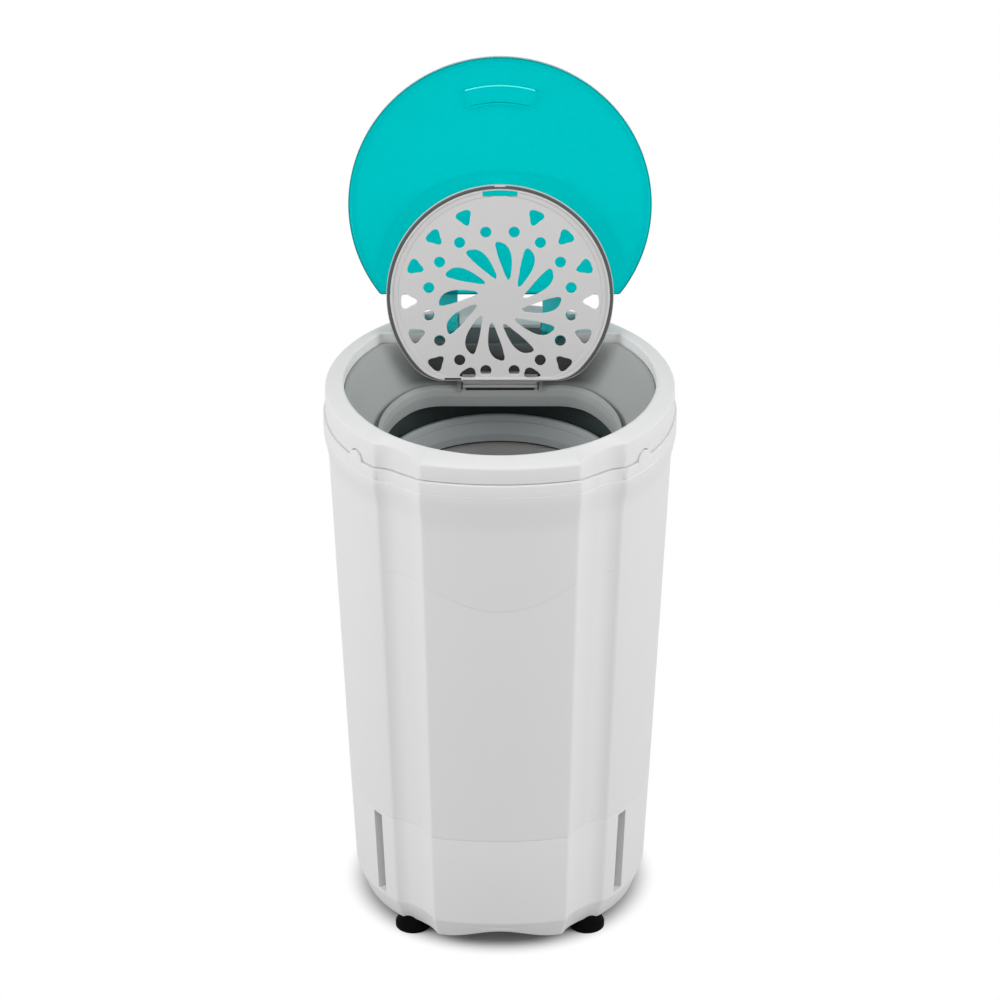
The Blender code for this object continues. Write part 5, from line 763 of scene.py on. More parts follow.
def skirt_section(azimuth):
    """The skirt's wall with its lip, shelf and bottom flange."""
    share = casing_share(azimuth)
    edge = skirt_bottom(azimuth)
    bottom = BOTTOM_RADIUS * share
    lip = BASE_SEAM_RADIUS * share - SHELL_WALL - LIP_GAP
    return [
        (skirt_radius(BASE_SEAM_HEIGHT) * share, BASE_SEAM_HEIGHT - SEAM_SOFTNESS, SEAM_SOFTNESS),
        (CREASE_RADIUS * share, CREASE_HEIGHT, 0.0016),
        (bottom, edge, 0.0008),
        (bottom - SHELL_WALL, edge, 0.0006),
        (bottom - SHELL_WALL, FLANGE_LOW, 0.0),
        (FLANGE_INNER_RADIUS, FLANGE_LOW, 0.0),
        (FLANGE_INNER_RADIUS, FLANGE_HIGH, 0.0),
        (FLANGE_WALL_RADIUS * share - SHELL_WALL, FLANGE_HIGH, 0.0),
        (CREASE_RADIUS * share - SHELL_WALL, CREASE_HEIGHT, 0.0),
        (SHELF_WALL_RADIUS * share - SHELL_WALL, SHELF_LOW, 0.0),
        (SHELF_INNER_RADIUS, SHELF_LOW, 0.0),
        (SHELF_INNER_RADIUS, SHELF_HIGH, 0.0),
        (lip - LIP_THICKNESS, SHELF_HIGH, 0.0),
        (lip - LIP_THICKNESS, BASE_SEAM_HEIGHT + LIP_RISE, 0.0),
        (lip, BASE_SEAM_HEIGHT + LIP_RISE, 0.0),
        (lip, BASE_SEAM_HEIGHT - SEAM_SOFTNESS, 0.0),
    ]


def recess_block(side, width, deep, shallow, low, high):
    """A block that leans with the skirt's wall, between two depths below its surface."""
    outline = [(deep - skirt_radius(low), low), (shallow - skirt_radius(low), low),
               (shallow - skirt_radius(high), high), (deep - skirt_radius(high), high)]
    shape = side_prism(outline, -width / 2, width / 2)
    turn = Matrix.Translation((0, AXIS_Y, 0)) @ Matrix.Rotation(math.radians(side * RECESS_DEG), 4, "Z")
    bmesh.ops.transform(shape, matrix=turn, verts=shape.verts)
    return shape


def toward_rear(x, z):
    """The matrix that lays what stands on the spin axis along +Y, at the given place."""
    return Matrix.Translation((x, AXIS_Y, z)) @ Matrix.Rotation(-math.pi / 2, 4, "X")


skirt = add_piece("base_skirt_shell", shell(CASING_AZIMUTHS, skirt_section), "white_plastic")
for side, word in ((-1, "left"), (1, "right")):
    join(skirt, recess_block(side, RECESS_WIDTH + 2 * RECESS_WALL, RECESS_DEPTH + RECESS_WALL, RECESS_LAP,
                             RECESS_BOTTOM - RECESS_WALL, SHELF_LOW + RECESS_TOP_LAP))
    cut(skirt, recess_block(side, RECESS_WIDTH, RECESS_DEPTH, -OVERCUT, RECESS_BOTTOM, RECESS_TOP))
    # The recess floor's grey is painted shade of the deep recess.
    floor_block = recess_block(side, RECESS_WIDTH, RECESS_DEPTH + RECESS_FLOOR_SPAN[0],
                               RECESS_DEPTH - RECESS_FLOOR_SPAN[1], RECESS_BOTTOM, RECESS_TOP)
    recess_floor = add_piece("recess_floor_" + word, floor_block, "recess_grey")
    dress(recess_floor, "casing", "white_plastic", "base_skirt")
cut(skirt, rod(GLAND_HOLE_RADIUS, GLAND_CUT_START, REAR_CUT_END, toward_rear(0, GLAND_HEIGHT)))
cut(skirt, rod(DRAIN_HOLE_RADIUS, DRAIN_CUT_START, REAR_CUT_END, toward_rear(DRAIN_X, DRAIN_HEIGHT)))
dress(skirt, "casing", "white_plastic", "base_skirt")

# %% [markdown]
# ## Top ring
# The ring closes the casing round the mouth. Its outside follows the casing, its inside the mouth
# with the straight rear, and in between its top rises to a low crown. The pocket for the lid's
# hinge arms is cut last, because it ignores the ring's own directions, and gets a dark grey panel
# on its rear wall and floor that is painted shade of the lids.

# %% Top ring
RING_RADIUS = 0.1813
RING_EDGE = 0.5995
RING_SHOULDER = 0.6023
RING_CROWN = 0.6055
MOUTH_RADIUS = 0.1620
MOUTH_CHORD = 0.1040
MOUTH_CORNER = 0.0060
RING_SKIN = 0.0030
LEDGE_TOP = 0.5915
LEDGE_BOTTOM = 0.5890
LEDGE_REACH = 0.0021
POCKET_HALF_WIDTH = 0.0790
ARM_SLOT_INNER_X = 0.0425
POCKET_REAR_Y = 0.1241
ARM_SLOT_REAR_Y = 0.1525
POCKET_FLOOR = 0.5755
PIN_BORE_RADIUS = 0.0026
BLOCK_HALF_WIDTH = 0.0900
SHOULDER_INSET = 0.0060
SPIGOT_RADIUS = 0.1781
SPIGOT_DEPTH = 0.010
ROD_HOLE_RADIUS = 0.0026
ROD_X = 0.0550
SHADE_PANEL_HALF = 0.0006
SHADE_PANEL_FALL = 0.0040
PIN_BORE_PAST = 0.005
KNUCKLE_CLEARANCE = 0.001


def ring_section(azimuth):
    """The ring's section: outside wall, crown, mouth, ledge, underside and spigot."""
    share = casing_share(azimuth)
    seam = seam_height(azimuth)
    seam_top = seam + tab_rise(azimuth)
    mouth = mouth_radius(azimuth)
    back = mouth_radius(azimuth, RING_SKIN)
    ledge = mouth_radius(azimuth, -LEDGE_REACH)
    spigot = SPIGOT_RADIUS * share
    return [
        (RING_RADIUS * share, seam_top, 0.0006),
        (RING_RADIUS * share, RING_EDGE, 0.0020),
        ((RING_RADIUS - SHOULDER_INSET) * share, RING_SHOULDER, 0.0030),
        (back, RING_CROWN, 0.0010),
        (mouth, RING_CROWN - 0.0004, 0.0012),
        (mouth, LEDGE_TOP, 0.0),
        (ledge, LEDGE_TOP, 0.0004),
        (ledge, LEDGE_BOTTOM, 0.0),
        (back, LEDGE_BOTTOM, 0.0),
        (back, RING_EDGE, 0.0),
        ((RING_RADIUS - SHOULDER_INSET) * share, RING_EDGE - RING_SKIN, 0.0),
        (spigot - SHELL_WALL, seam_top, 0.0),
        (spigot - SHELL_WALL, seam - SPIGOT_DEPTH, 0.0),
        (spigot, seam - SPIGOT_DEPTH, 0.0),
        (spigot, seam_top, 0.0),
    ]


def hinge_pocket():
    """The space that the lid's arms turn in."""
    pocket = [(POCKET_HALF_WIDTH, MOUTH_CHORD - OVERCUT), (POCKET_HALF_WIDTH, ARM_SLOT_REAR_Y),
              (ARM_SLOT_INNER_X, ARM_SLOT_REAR_Y), (ARM_SLOT_INNER_X, POCKET_REAR_Y)]
    pocket += [(-x, y) for x, y in reversed(pocket)]
    return prism([(x, y + AXIS_Y) for x, y in pocket], POCKET_FLOOR, RING_CROWN + OVERCUT)


ring = add_piece("top_ring_shell", shell(CASING_AZIMUTHS, ring_section), "white_plastic")
join(ring, block((-BLOCK_HALF_WIDTH, MOUTH_CHORD + RING_SKIN / 2 + AXIS_Y, POCKET_FLOOR - RING_SKIN),
                 (BLOCK_HALF_WIDTH, ARM_SLOT_REAR_Y + RING_SKIN + AXIS_Y, RING_EDGE)))
cut(ring, hinge_pocket())
for span in both_sides(ARM_SLOT_INNER_X - PIN_BORE_PAST, POCKET_HALF_WIDTH + PIN_BORE_PAST):
    cut(ring, along_x(PIN_BORE_RADIUS, *span, OUTER_PIVOT.y, OUTER_PIVOT.z))
cut(ring, rod(ROD_HOLE_RADIUS, POCKET_FLOOR - 0.006, POCKET_FLOOR + 0.004,
              Matrix.Translation((ROD_X, OUTER_PIVOT.y, 0))))
pocket_rear = POCKET_REAR_Y + AXIS_Y
# Painted shade: a dark grey panel on the pocket's rear wall and floor stands for the shade of the lids.
shade_panel_wall = block((-ARM_SLOT_INNER_X, pocket_rear - SHADE_PANEL_HALF, POCKET_FLOOR),
                    (ARM_SLOT_INNER_X, pocket_rear + SHADE_PANEL_HALF, RING_CROWN - SHADE_PANEL_FALL))
shade_panel = add_piece("hinge_pocket_lining", shade_panel_wall, "pocket_grey")
join(shade_panel, block((-POCKET_HALF_WIDTH, MOUTH_CHORD + RING_SKIN + AXIS_Y, POCKET_FLOOR - SHADE_PANEL_HALF),
                   (POCKET_HALF_WIDTH, pocket_rear, POCKET_FLOOR + SHADE_PANEL_HALF)))
for piece in (ring, shade_panel):
    dress(piece, "casing", "white_plastic", "top_ring")

# %% [markdown]
# ## Funnel deck
# The grey deck leads the washing into the basket: a flange on the ring's ledge, a hollow slope, a
# raised lip round the opening, a neck under it, and a pad below the inner lid's hinge. A black strip
# in the slot under the hinge and two black slits beside the pad are painted shadow in the gaps, and
# the grey turns dark round the hinge as painted shade of the lids. Its corners grow from tight at the
# ring to wide at the opening, so the section function blends the outlines on the way down.

# %% Funnel deck
OPENING_RADIUS = 0.1210
OPENING_CHORD = 0.0920
OPENING_CORNER = 0.0450
LIP_TOP = 0.5433
LIP_WIDTH = 0.0056
LIP_CLIMB = 0.0048
NECK_BOTTOM = 0.5247
FLANGE_BASE = 0.5918
FLANGE_TOP = FLANGE_BASE + 0.0027
FLANGE_CLEARANCE = 0.0014
BEVEL_WIDTH = 0.0018
NECK_WALL = 0.0025
FUNNEL_FOOT = 0.5395
DECK_WALL = 0.0022
HINGE_GAP = 0.0405
EAR_WIDTH = 0.0045
EAR_RADIUS = 0.0042
INNER_PIN_RADIUS = 0.0015
INNER_BORE_HALF_LENGTH = 0.055
HINGE_CHORD_Y = OPENING_CHORD + AXIS_Y
HINGE_SLOT_HALF = 0.0362
HINGE_SHADOW_STRIP_HALF = 0.0360
HINGE_PAD_HALF = 0.0393
HINGE_SHADOW_SLITS = (0.0395, 0.0404)
SLOPE_SHARES = (0.25, 0.5, 0.75)
SLOPE_SAG = 0.0040
DECK_AZIMUTHS = spread((0.0, 122.0, 134.0, 152.0, 180.0), (44, 20, 20, 10))
DECK_RIM = (0.1564, 0.0994, 0.0060)
DECK_FOOT = (0.1296, 0.0995, 0.0500)


def slope_corner(azimuth, along, drop):
    """A point on the funnel's slope, between its rim and its foot."""
    mixed = [rim * (1 - along) + foot * along for rim, foot in zip(DECK_RIM, DECK_FOOT)]
    height = FLANGE_TOP + (FUNNEL_FOOT - FLANGE_TOP) * along
    return (d_radius(azimuth, *mixed) + drop, height - 2 * SLOPE_SAG * along * (1 - along) - drop, 0.0)


def deck_section(azimuth):
    """Flange, slope, foot, lip and neck, and back up underneath."""
    crest = opening_radius(azimuth, LIP_WIDTH)
    bevel = opening_radius(azimuth, BEVEL_WIDTH)
    opening = opening_radius(azimuth)
    neck = opening_radius(azimuth, NECK_WALL)
    flange = mouth_radius(azimuth, -FLANGE_CLEARANCE)
    rim = d_radius(azimuth, *DECK_RIM)
    foot = d_radius(azimuth, *DECK_FOOT)
    corners = [
        (flange, FLANGE_BASE, 0.0),
        (flange, FLANGE_TOP, 0.0005),
        (rim, FLANGE_TOP, 0.0012),
    ]
    corners += [slope_corner(azimuth, share, 0.0) for share in SLOPE_SHARES]
    corners += [
        (foot, FUNNEL_FOOT, 0.0025),
        (crest + 0.0006, FUNNEL_FOOT, 0.0008),
        (crest, LIP_TOP + LIP_CLIMB, 0.0012),
        (bevel, LIP_TOP, 0.0008),
        (opening, LIP_TOP - 0.0065, 0.0010),
        (opening, NECK_BOTTOM, 0.0006),
        (neck, NECK_BOTTOM, 0.0006),
        (neck, FUNNEL_FOOT - DECK_WALL, 0.0),
        (foot, FUNNEL_FOOT - DECK_WALL, 0.0),
    ]
    corners += [slope_corner(azimuth, share, DECK_WALL) for share in reversed(SLOPE_SHARES)]
    corners.append((rim + DECK_WALL, FLANGE_BASE, 0.0))
    return corners


deck = add_piece("funnel_deck", shell(DECK_AZIMUTHS, deck_section), "funnel_grey")
for low_x, high_x in both_sides(HINGE_GAP, HINGE_GAP + EAR_WIDTH):
    join(deck, along_x(EAR_RADIUS, low_x, high_x, INNER_PIVOT.y, INNER_PIVOT.z))
    join(deck, block((low_x, INNER_PIVOT.y - EAR_RADIUS * 0.9, LIP_TOP - 0.001),
                     (high_x, INNER_PIVOT.y + EAR_RADIUS * 0.9, INNER_PIVOT.z)))
cut(deck, along_x(INNER_PIN_RADIUS + 0.0004, -INNER_BORE_HALF_LENGTH, INNER_BORE_HALF_LENGTH,
                  INNER_PIVOT.y, INNER_PIVOT.z))
cut(deck, block((-HINGE_SLOT_HALF, HINGE_CHORD_Y + 0.0014, LIP_TOP + 0.0002),
                (HINGE_SLOT_HALF, HINGE_CHORD_Y + 0.0052, LIP_TOP + OVERCUT)))
pad_block = block((-HINGE_PAD_HALF, HINGE_CHORD_Y + 0.0022, LIP_TOP + 0.0024),
                  (HINGE_PAD_HALF, INNER_PIVOT.y + 0.0012, LIP_TOP + 0.0058), 0.0004)
hinge_pad = add_piece("hinge_pad", pad_block, "lid_grey_plastic")
# Painted shadow: a black strip in the slot under the hinge and two black slits beside the pad stand for the
# shadow in those gaps.
shadow_strip_block = block((-HINGE_SHADOW_STRIP_HALF, HINGE_CHORD_Y + 0.0013, LIP_TOP + 0.0001),
                    (HINGE_SHADOW_STRIP_HALF, HINGE_CHORD_Y + 0.0030, LIP_TOP + 0.0025))
hinge_strip = add_piece("hinge_strip", shadow_strip_block, "black_plastic")
for low_x, high_x in both_sides(*HINGE_SHADOW_SLITS):
    join(hinge_strip, block((low_x, HINGE_CHORD_Y + 0.0013, LIP_TOP + 0.0001),
                            (high_x, INNER_PIVOT.y - 0.0018, INNER_PIVOT.z - 0.0018)))
for piece in (deck, hinge_pad, hinge_strip):
    dress(piece, "casing", "grey_plastic", "inner_deck")

# %% [markdown]
# ## Inner lid
# The lid over the opening is a flat plate with swirled petals, a ring of round holes and a ring of
# rounded triangles. A flat curve with many closed splines makes such a plate best: Blender fills
# between them and its bevel rounds every edge, also those of the openings. The lid is drawn lying
# down, closed, round its hinge, and a matrix opens it.

# %% Inner lid outline and openings
INNER_LID_RADIUS = 0.1187
INNER_LID_CHORD = 0.0915
INNER_LID_CORNER = 0.0430
INNER_LID_MIDDLE = -0.0115
LID_CENTRE_Y = AXIS_Y - INNER_PIVOT.y
PLATE_HALF = 0.0014
PLATE_EDGE = 0.0005
WELD_DISTANCE = 0.000002
FLAT_SHARP_DEG = 15.0
RIM_HALF = 0.0030
RIM_OUTLINE = (0.1146, 0.0908, 0.0404)
RIM_WIDTH = 0.0024
STEP_OUTER = (0.1126, 0.0888, 0.0384)
STEP_INNER = (0.1066, 0.0880, 0.0376)
PATTERN_SHIFT = 0.0063
PETAL_COUNT = 12
PETAL_POINTS = (
    (0.0066, 0.0255), (0.0085, 0.0232), (0.0102, 0.0246), (0.0117, 0.0320), (0.0124, 0.0410),
    (0.0119, 0.0490), (0.0102, 0.0548), (0.0070, 0.0598), (0.0030, 0.0625), (-0.0036, 0.0636),
    (-0.0046, 0.0624), (-0.0036, 0.0545), (-0.0006, 0.0440), (0.0030, 0.0345),
)
HOLE_COUNT = 16
HOLE_CIRCLE = 0.0758
HOLE_RADIUS = 0.0058
HOLE_POINTS = 8
TRIANGLE_REACHES = (0.0966, 0.0960, 0.0952, 0.0954, 0.0940, 0.0932)
TRIANGLE_POINTS = (
    (-0.0082, 0.0036), (-0.0074, 0.0060), (0.0, 0.0078), (0.0074, 0.0060), (0.0082, 0.0036),
    (0.0052, -0.0024), (0.0018, -0.0080), (0.0, -0.0088), (-0.0018, -0.0080), (-0.0052, -0.0024),
)
TRIANGLE_STEP_DEG = 22.5
LAST_SLOT_POINTS = (
    (0.0257, 0.0805), (0.0258, 0.0758), (0.0278, 0.0721), (0.0318, 0.0712), (0.0357, 0.0730),
    (0.0417, 0.0780), (0.0424, 0.0799), (0.0400, 0.0812), (0.0340, 0.0816), (0.0280, 0.0815),
)
WINDOW_HALF_WIDTH = 0.0182
WINDOW_FRONT = 0.0041
WINDOW_REAR = 0.0124
LID_AZIMUTHS = spread((0.0, 124.0, 154.0, 180.0), (40, 26, 6))

inner_place = Matrix.Translation(INNER_PIVOT) @ Matrix.Rotation(math.radians(-INNER_OPEN_DEG), 4, "X")


def d_path(radius, chord, corner, centre_y, azimuths):
    """A lid's outline as flat points round its own middle."""
    points = []
    for azimuth in azimuths:
        reach = d_radius(azimuth, radius, chord, corner)
        angle = math.radians(azimuth)
        points.append((reach * math.sin(angle), centre_y - reach * math.cos(angle)))
    return points


def turned_path(points, direction, reach=0.0):
    """Points given as (across, outwards) laid in one direction round the pattern's middle."""
    angle = math.radians(direction)
    laid = []
    for across, outwards in points:
        along = outwards + reach
        laid.append((along * math.sin(angle) + across * math.cos(angle),
                     -along * math.cos(angle) + across * math.sin(angle)))
    return laid


def lid_openings():
    """Every opening of the inner lid except the latch window."""
    round_hole = [(HOLE_RADIUS * math.cos(2 * math.pi * index / HOLE_POINTS),
                   HOLE_RADIUS * math.sin(2 * math.pi * index / HOLE_POINTS)) for index in range(HOLE_POINTS)]
    paths = [turned_path(PETAL_POINTS, 360.0 * index / PETAL_COUNT) for index in range(PETAL_COUNT)]
    paths += [turned_path(round_hole, 360.0 * (index + 0.5) / HOLE_COUNT, HOLE_CIRCLE)
              for index in range(HOLE_COUNT)]
    for side in (-1, 1):
        for index, reach in enumerate(TRIANGLE_REACHES, 1):
            paths.append(turned_path(TRIANGLE_POINTS, side * TRIANGLE_STEP_DEG * index, reach))
        paths.append([(side * x, y) for x, y in LAST_SLOT_POINTS])
    return [[(x, y + LID_CENTRE_Y + PATTERN_SHIFT) for x, y in path] for path in paths]


def add_spline(curve, points, round_points):
    """A closed spline; round ones bend smoothly through their points."""
    spline = curve.splines.new("BEZIER")
    spline.bezier_points.add(len(points) - 1)
    for knot, (x, y) in zip(spline.bezier_points, points):
        knot.co = (x, y, 0)
        knot.handle_left_type = "AUTO" if round_points else "VECTOR"
        knot.handle_right_type = knot.handle_left_type
    spline.use_cyclic_u = True
    spline.resolution_u = 5 if round_points else 1


def lid_plate(outlines, openings):
    """The inner lid's flat plate with openings and rounded edges, from a filled curve."""
    curve = bpy.data.curves.new("inner_lid_plate", "CURVE")
    curve.dimensions = "2D"
    curve.fill_mode = "BOTH"
    curve.extrude = PLATE_HALF - PLATE_EDGE
    curve.bevel_depth = PLATE_EDGE
    curve.bevel_resolution = 1
    curve.offset = -PLATE_EDGE
    for paths, round_points in ((outlines, False), (openings, True)):
        for path in paths:
            add_spline(curve, path, round_points)
    drawn = bpy.data.objects.new("inner_lid_plate", curve)
    bpy.context.collection.objects.link(drawn)
    graph = bpy.context.evaluated_depsgraph_get()
    mesh = bpy.data.meshes.new_from_object(drawn.evaluated_get(graph))
    bpy.data.objects.remove(drawn, do_unlink=True)
    shape = bmesh.new()
    shape.from_mesh(mesh)
    bmesh.ops.remove_doubles(shape, verts=shape.verts, dist=WELD_DISTANCE)
    bpy.data.meshes.remove(mesh)
    place = inner_place @ Matrix.Translation((0, 0, INNER_LID_MIDDLE))
    return add_piece("inner_lid_plate", shape, "lid_grey_plastic", FLAT_SHARP_DEG, place)


def lid_band(name, outer, inner, below, above, setback, finish="lid_grey_plastic"):
    """A closed band between two outlines of the inner lid, round its middle plane."""
    low, high = INNER_LID_MIDDLE - below, INNER_LID_MIDDLE + above
    paths = [d_path(*outline, LID_CENTRE_Y, LID_AZIMUTHS) for outline in (outer, inner)]
    rows = []
    for (ox, oy), (ix, iy) in zip(*paths):
        edge = Vector((ox, oy))
        inside = Vector((ix, iy)) - edge
        width = inside.length
        inside.normalize()
        corners = [(0.0, low, setback), (0.0, high, setback), (width, high, setback), (width, low, setback)]
        rows.append([(*(edge + inside * point.x), point.y) for point in softened(corners)])
    return add_piece(name, skin(rows), finish, place=inner_place)


def shrunk(outline, inset):
    """An outline's radius, chord and corner, all drawn in."""
    return tuple(size - inset for size in outline)


window = [(-WINDOW_HALF_WIDTH, WINDOW_FRONT), (WINDOW_HALF_WIDTH, WINDOW_FRONT),
          (WINDOW_HALF_WIDTH, WINDOW_REAR), (-WINDOW_HALF_WIDTH, WINDOW_REAR)]
window = [(x, y + LID_CENTRE_Y - INNER_LID_RADIUS) for x, y in window]
plate_outline = d_path(*shrunk(RIM_OUTLINE, RIM_WIDTH / 2), LID_CENTRE_Y, LID_AZIMUTHS)
plate = lid_plate([plate_outline, window], lid_openings())
print("inner lid plate", len(plate.data.polygons), "faces")

# %% Inner lid rim, band, hinge tab and gasket
TAB_HALF_WIDTH = 0.0393
WEB_HALF_WIDTH = 0.0240
TAB_THICKNESS = 0.0028
KNUCKLE_RADIUS = 0.0030
LID_OUTLINE = (INNER_LID_RADIUS, INNER_LID_CHORD, INNER_LID_CORNER)
FLANGE_WIDTH = 0.0007
LATCH_HALF_WIDTH = 0.0058
FLANGE_HALF = 0.0022
GASKET_HALF = 0.0030
GASKET_LAP = 0.0003

FLANGE_OUTLINE = shrunk(LID_OUTLINE, FLANGE_WIDTH)
rim = lid_band("inner_lid_rim", RIM_OUTLINE, shrunk(RIM_OUTLINE, RIM_WIDTH), RIM_HALF, RIM_HALF, 0.0006)
step = lid_band("inner_lid_step", STEP_OUTER, STEP_INNER, PLATE_HALF + 0.0005, PLATE_HALF - 0.0004, 0.0005)
window_block = block((*window[0], INNER_LID_MIDDLE - OVERCUT), (*window[2], INNER_LID_MIDDLE + OVERCUT))
bmesh.ops.transform(window_block, matrix=inner_place, verts=window_block.verts)
cut(step, window_block.copy())
cut(rim, window_block)
flange = lid_band("inner_lid_flange", LID_OUTLINE, FLANGE_OUTLINE, FLANGE_HALF, FLANGE_HALF, 0.0002)
gasket = lid_band("inner_lid_gasket_ring", FLANGE_OUTLINE, shrunk(RIM_OUTLINE, -GASKET_LAP),
                  GASKET_HALF, GASKET_HALF, 0.0007, "gasket_rubber")
dress(gasket, "inner_lid", "dark_rubber", "inner_lid_gasket")

tab_root = LID_CENTRE_Y + INNER_LID_CHORD - 0.0042 - TAB_THICKNESS - 0.0003
tab_outline = [
    (tab_root, INNER_LID_MIDDLE), (tab_root + TAB_THICKNESS, INNER_LID_MIDDLE),
    (tab_root + TAB_THICKNESS, -KNUCKLE_RADIUS), (0, -KNUCKLE_RADIUS),
    (0, TAB_THICKNESS - KNUCKLE_RADIUS), (tab_root, TAB_THICKNESS - KNUCKLE_RADIUS),
]
tab = add_piece("inner_lid_tab", side_prism(tab_outline, -WEB_HALF_WIDTH, WEB_HALF_WIDTH), "lid_grey_plastic")
join(tab, block((-TAB_HALF_WIDTH, tab_root + TAB_THICKNESS + 0.0003, -KNUCKLE_RADIUS + 0.0002),
                (TAB_HALF_WIDTH, -0.0002, TAB_THICKNESS - KNUCKLE_RADIUS - 0.0002)))
knuckle_end = TAB_HALF_WIDTH - 0.0005
join(tab, along_x(KNUCKLE_RADIUS, -knuckle_end, knuckle_end, 0, 0, edge=0.0004))
cut(tab, along_x(INNER_PIN_RADIUS + 0.0003, -0.06, 0.06, 0, 0))
tab.data.transform(inner_place)

front_edge = LID_CENTRE_Y - INNER_LID_RADIUS
chord_edge = LID_CENTRE_Y + INNER_LID_CHORD
lid_under = INNER_LID_MIDDLE - RIM_HALF
latch_block = block((-LATCH_HALF_WIDTH, front_edge + 0.0004, INNER_LID_MIDDLE - 0.0034),
                    (LATCH_HALF_WIDTH, front_edge + 0.0019, INNER_LID_MIDDLE - 0.0008), 0.0004)
latch = add_piece("inner_lid_latch", latch_block, "lid_grey_plastic", place=inner_place)
# Painted shadow: a black bar under the lid's straight edge on the left stands for the shadow gap between the
# lid and the funnel's lip.
shadow_gap_block = block((-0.0580, chord_edge - 0.0034, lid_under - 0.0002),
                   (-0.0405, chord_edge - 0.0014, lid_under + 0.0010), 0.0003)
slot = add_piece("inner_lid_slot", shadow_gap_block, "black_plastic", place=inner_place)
for piece in (plate, rim, step, flange, tab, latch, slot):
    dress(piece, "inner_lid", "lid_grey_plastic", "inner_lid")

# %% [markdown]
# ## Outer lid
# The big lid is a clear disc with a straight rear, a turned-down rim and a finger recess near the
# front. Light goes through it, so it has to be one closed skin without walls inside it, and its
# parts are fused with Booleans. The two arms that end in knuckles on the hinge pins, with the cam
# beside the right one, are a piece of their own in an even teal.

# %% Outer lid
OUTER_LID = (0.1588, 0.0973, 0.0050)
PLATE_BOTTOM = 0.0065
PLATE_TOP = 0.0095
OUTER_RIM_BOTTOM = 0.0026
OUTER_RIM_WIDTH = 0.0030
INSIDE_LINE_INSET = 0.0095
GRIP_OUTER_RADIUS = 0.1270
GRIP_INNER_RADIUS = 0.1095
GRIP_HALF_DEG = 16.5
GRIP_FLOOR = 0.0050
GRIP_WALL = 0.0020
SECTOR_STEPS = 20
ARM_LAP = 0.0030
ARM_SINK = 0.0003
CAM_HALF_WIDTH = 0.005
CAM_SIDES = 48
ARM_INNER_X = 0.0445
ARM_OUTER_X = 0.0705
ARM_ROOT_Y = -0.0100
ARM_KNUCKLE_RADIUS = 0.0085
CAM_RADIUS = 0.0115
CAM_OFFSET = 0.0030
OUTER_PIN_BORE = 0.0025
OUTER_CENTRE_Y = AXIS_Y - OUTER_PIVOT.y
OUTER_AZIMUTHS = spread((0.0, 121.0, 128.0, 180.0), (60, 12, 8))
outer_place = Matrix.Translation(OUTER_PIVOT) @ Matrix.Rotation(math.radians(-OUTER_OPEN_DEG), 4, "X")


def lid_row(inset, height):
    """The outer lid's outline drawn in by an inset, at one height."""
    radius, chord, corner = OUTER_LID
    return [(x, y, height) for x, y in
            d_path(radius - inset, chord - inset, corner, OUTER_CENTRE_Y, OUTER_AZIMUTHS)]


def sector(inner, outer, half_deg, low, high):
    """A piece of a flat ring in front of the lid's middle."""
    angles = [math.radians(half_deg * (2 * index / SECTOR_STEPS - 1)) for index in range(SECTOR_STEPS + 1)]
    outline = [(outer * math.sin(a), OUTER_CENTRE_Y - outer * math.cos(a)) for a in angles]
    outline += [(inner * math.sin(a), OUTER_CENTRE_Y - inner * math.cos(a)) for a in reversed(angles)]
    return prism(outline, low, high)


lid_rows = [
    (INSIDE_LINE_INSET + 0.0010, PLATE_BOTTOM), (INSIDE_LINE_INSET, PLATE_BOTTOM - 0.0004),
    (INSIDE_LINE_INSET - 0.0010, PLATE_BOTTOM), (OUTER_RIM_WIDTH + 0.0006, PLATE_BOTTOM),
    (OUTER_RIM_WIDTH, PLATE_BOTTOM - 0.0006), (OUTER_RIM_WIDTH, OUTER_RIM_BOTTOM + 0.0004),
    (OUTER_RIM_WIDTH - 0.0004, OUTER_RIM_BOTTOM), (0.0004, OUTER_RIM_BOTTOM),
    (0.0, OUTER_RIM_BOTTOM + 0.0004), (0.0, PLATE_TOP - 0.0012), (0.00035, PLATE_TOP - 0.00035),
    (0.0012, PLATE_TOP),
]
lid_skin = skin([lid_row(*row) for row in lid_rows], closed_rows=False)
outer_lid = add_piece("clear_lid", lid_skin, "teal_clear_plastic")
grip_deg = GRIP_HALF_DEG + math.degrees(GRIP_WALL / GRIP_INNER_RADIUS)
join(outer_lid, sector(GRIP_INNER_RADIUS - GRIP_WALL, GRIP_OUTER_RADIUS + GRIP_WALL, grip_deg,
                       GRIP_FLOOR - GRIP_WALL, PLATE_BOTTOM + 0.001))
cut(outer_lid, sector(GRIP_INNER_RADIUS, GRIP_OUTER_RADIUS, GRIP_HALF_DEG, GRIP_FLOOR, PLATE_TOP + OVERCUT))
chord_y = OUTER_CENTRE_Y + OUTER_LID[1]
arm_outline = [
    (chord_y - ARM_LAP, PLATE_BOTTOM + ARM_SINK), (ARM_ROOT_Y, 0.0030), (ARM_ROOT_Y / 2, 0.0), (0.0, 0.0),
    (0.0, ARM_KNUCKLE_RADIUS - ARM_SINK), (ARM_ROOT_Y / 2, PLATE_TOP - ARM_SINK),
    (chord_y - ARM_LAP, PLATE_TOP - ARM_SINK),
]
arms = add_piece("clear_lid_arms", side_prism(arm_outline, -ARM_OUTER_X, -ARM_INNER_X), "arm_teal")
join(arms, side_prism(arm_outline, ARM_INNER_X, ARM_OUTER_X))
for span in both_sides(ARM_SLOT_INNER_X + KNUCKLE_CLEARANCE, POCKET_HALF_WIDTH - KNUCKLE_CLEARANCE):
    join(arms, along_x(ARM_KNUCKLE_RADIUS, *span, 0, 0, edge=0.0005))
closing = math.radians(OUTER_OPEN_DEG)
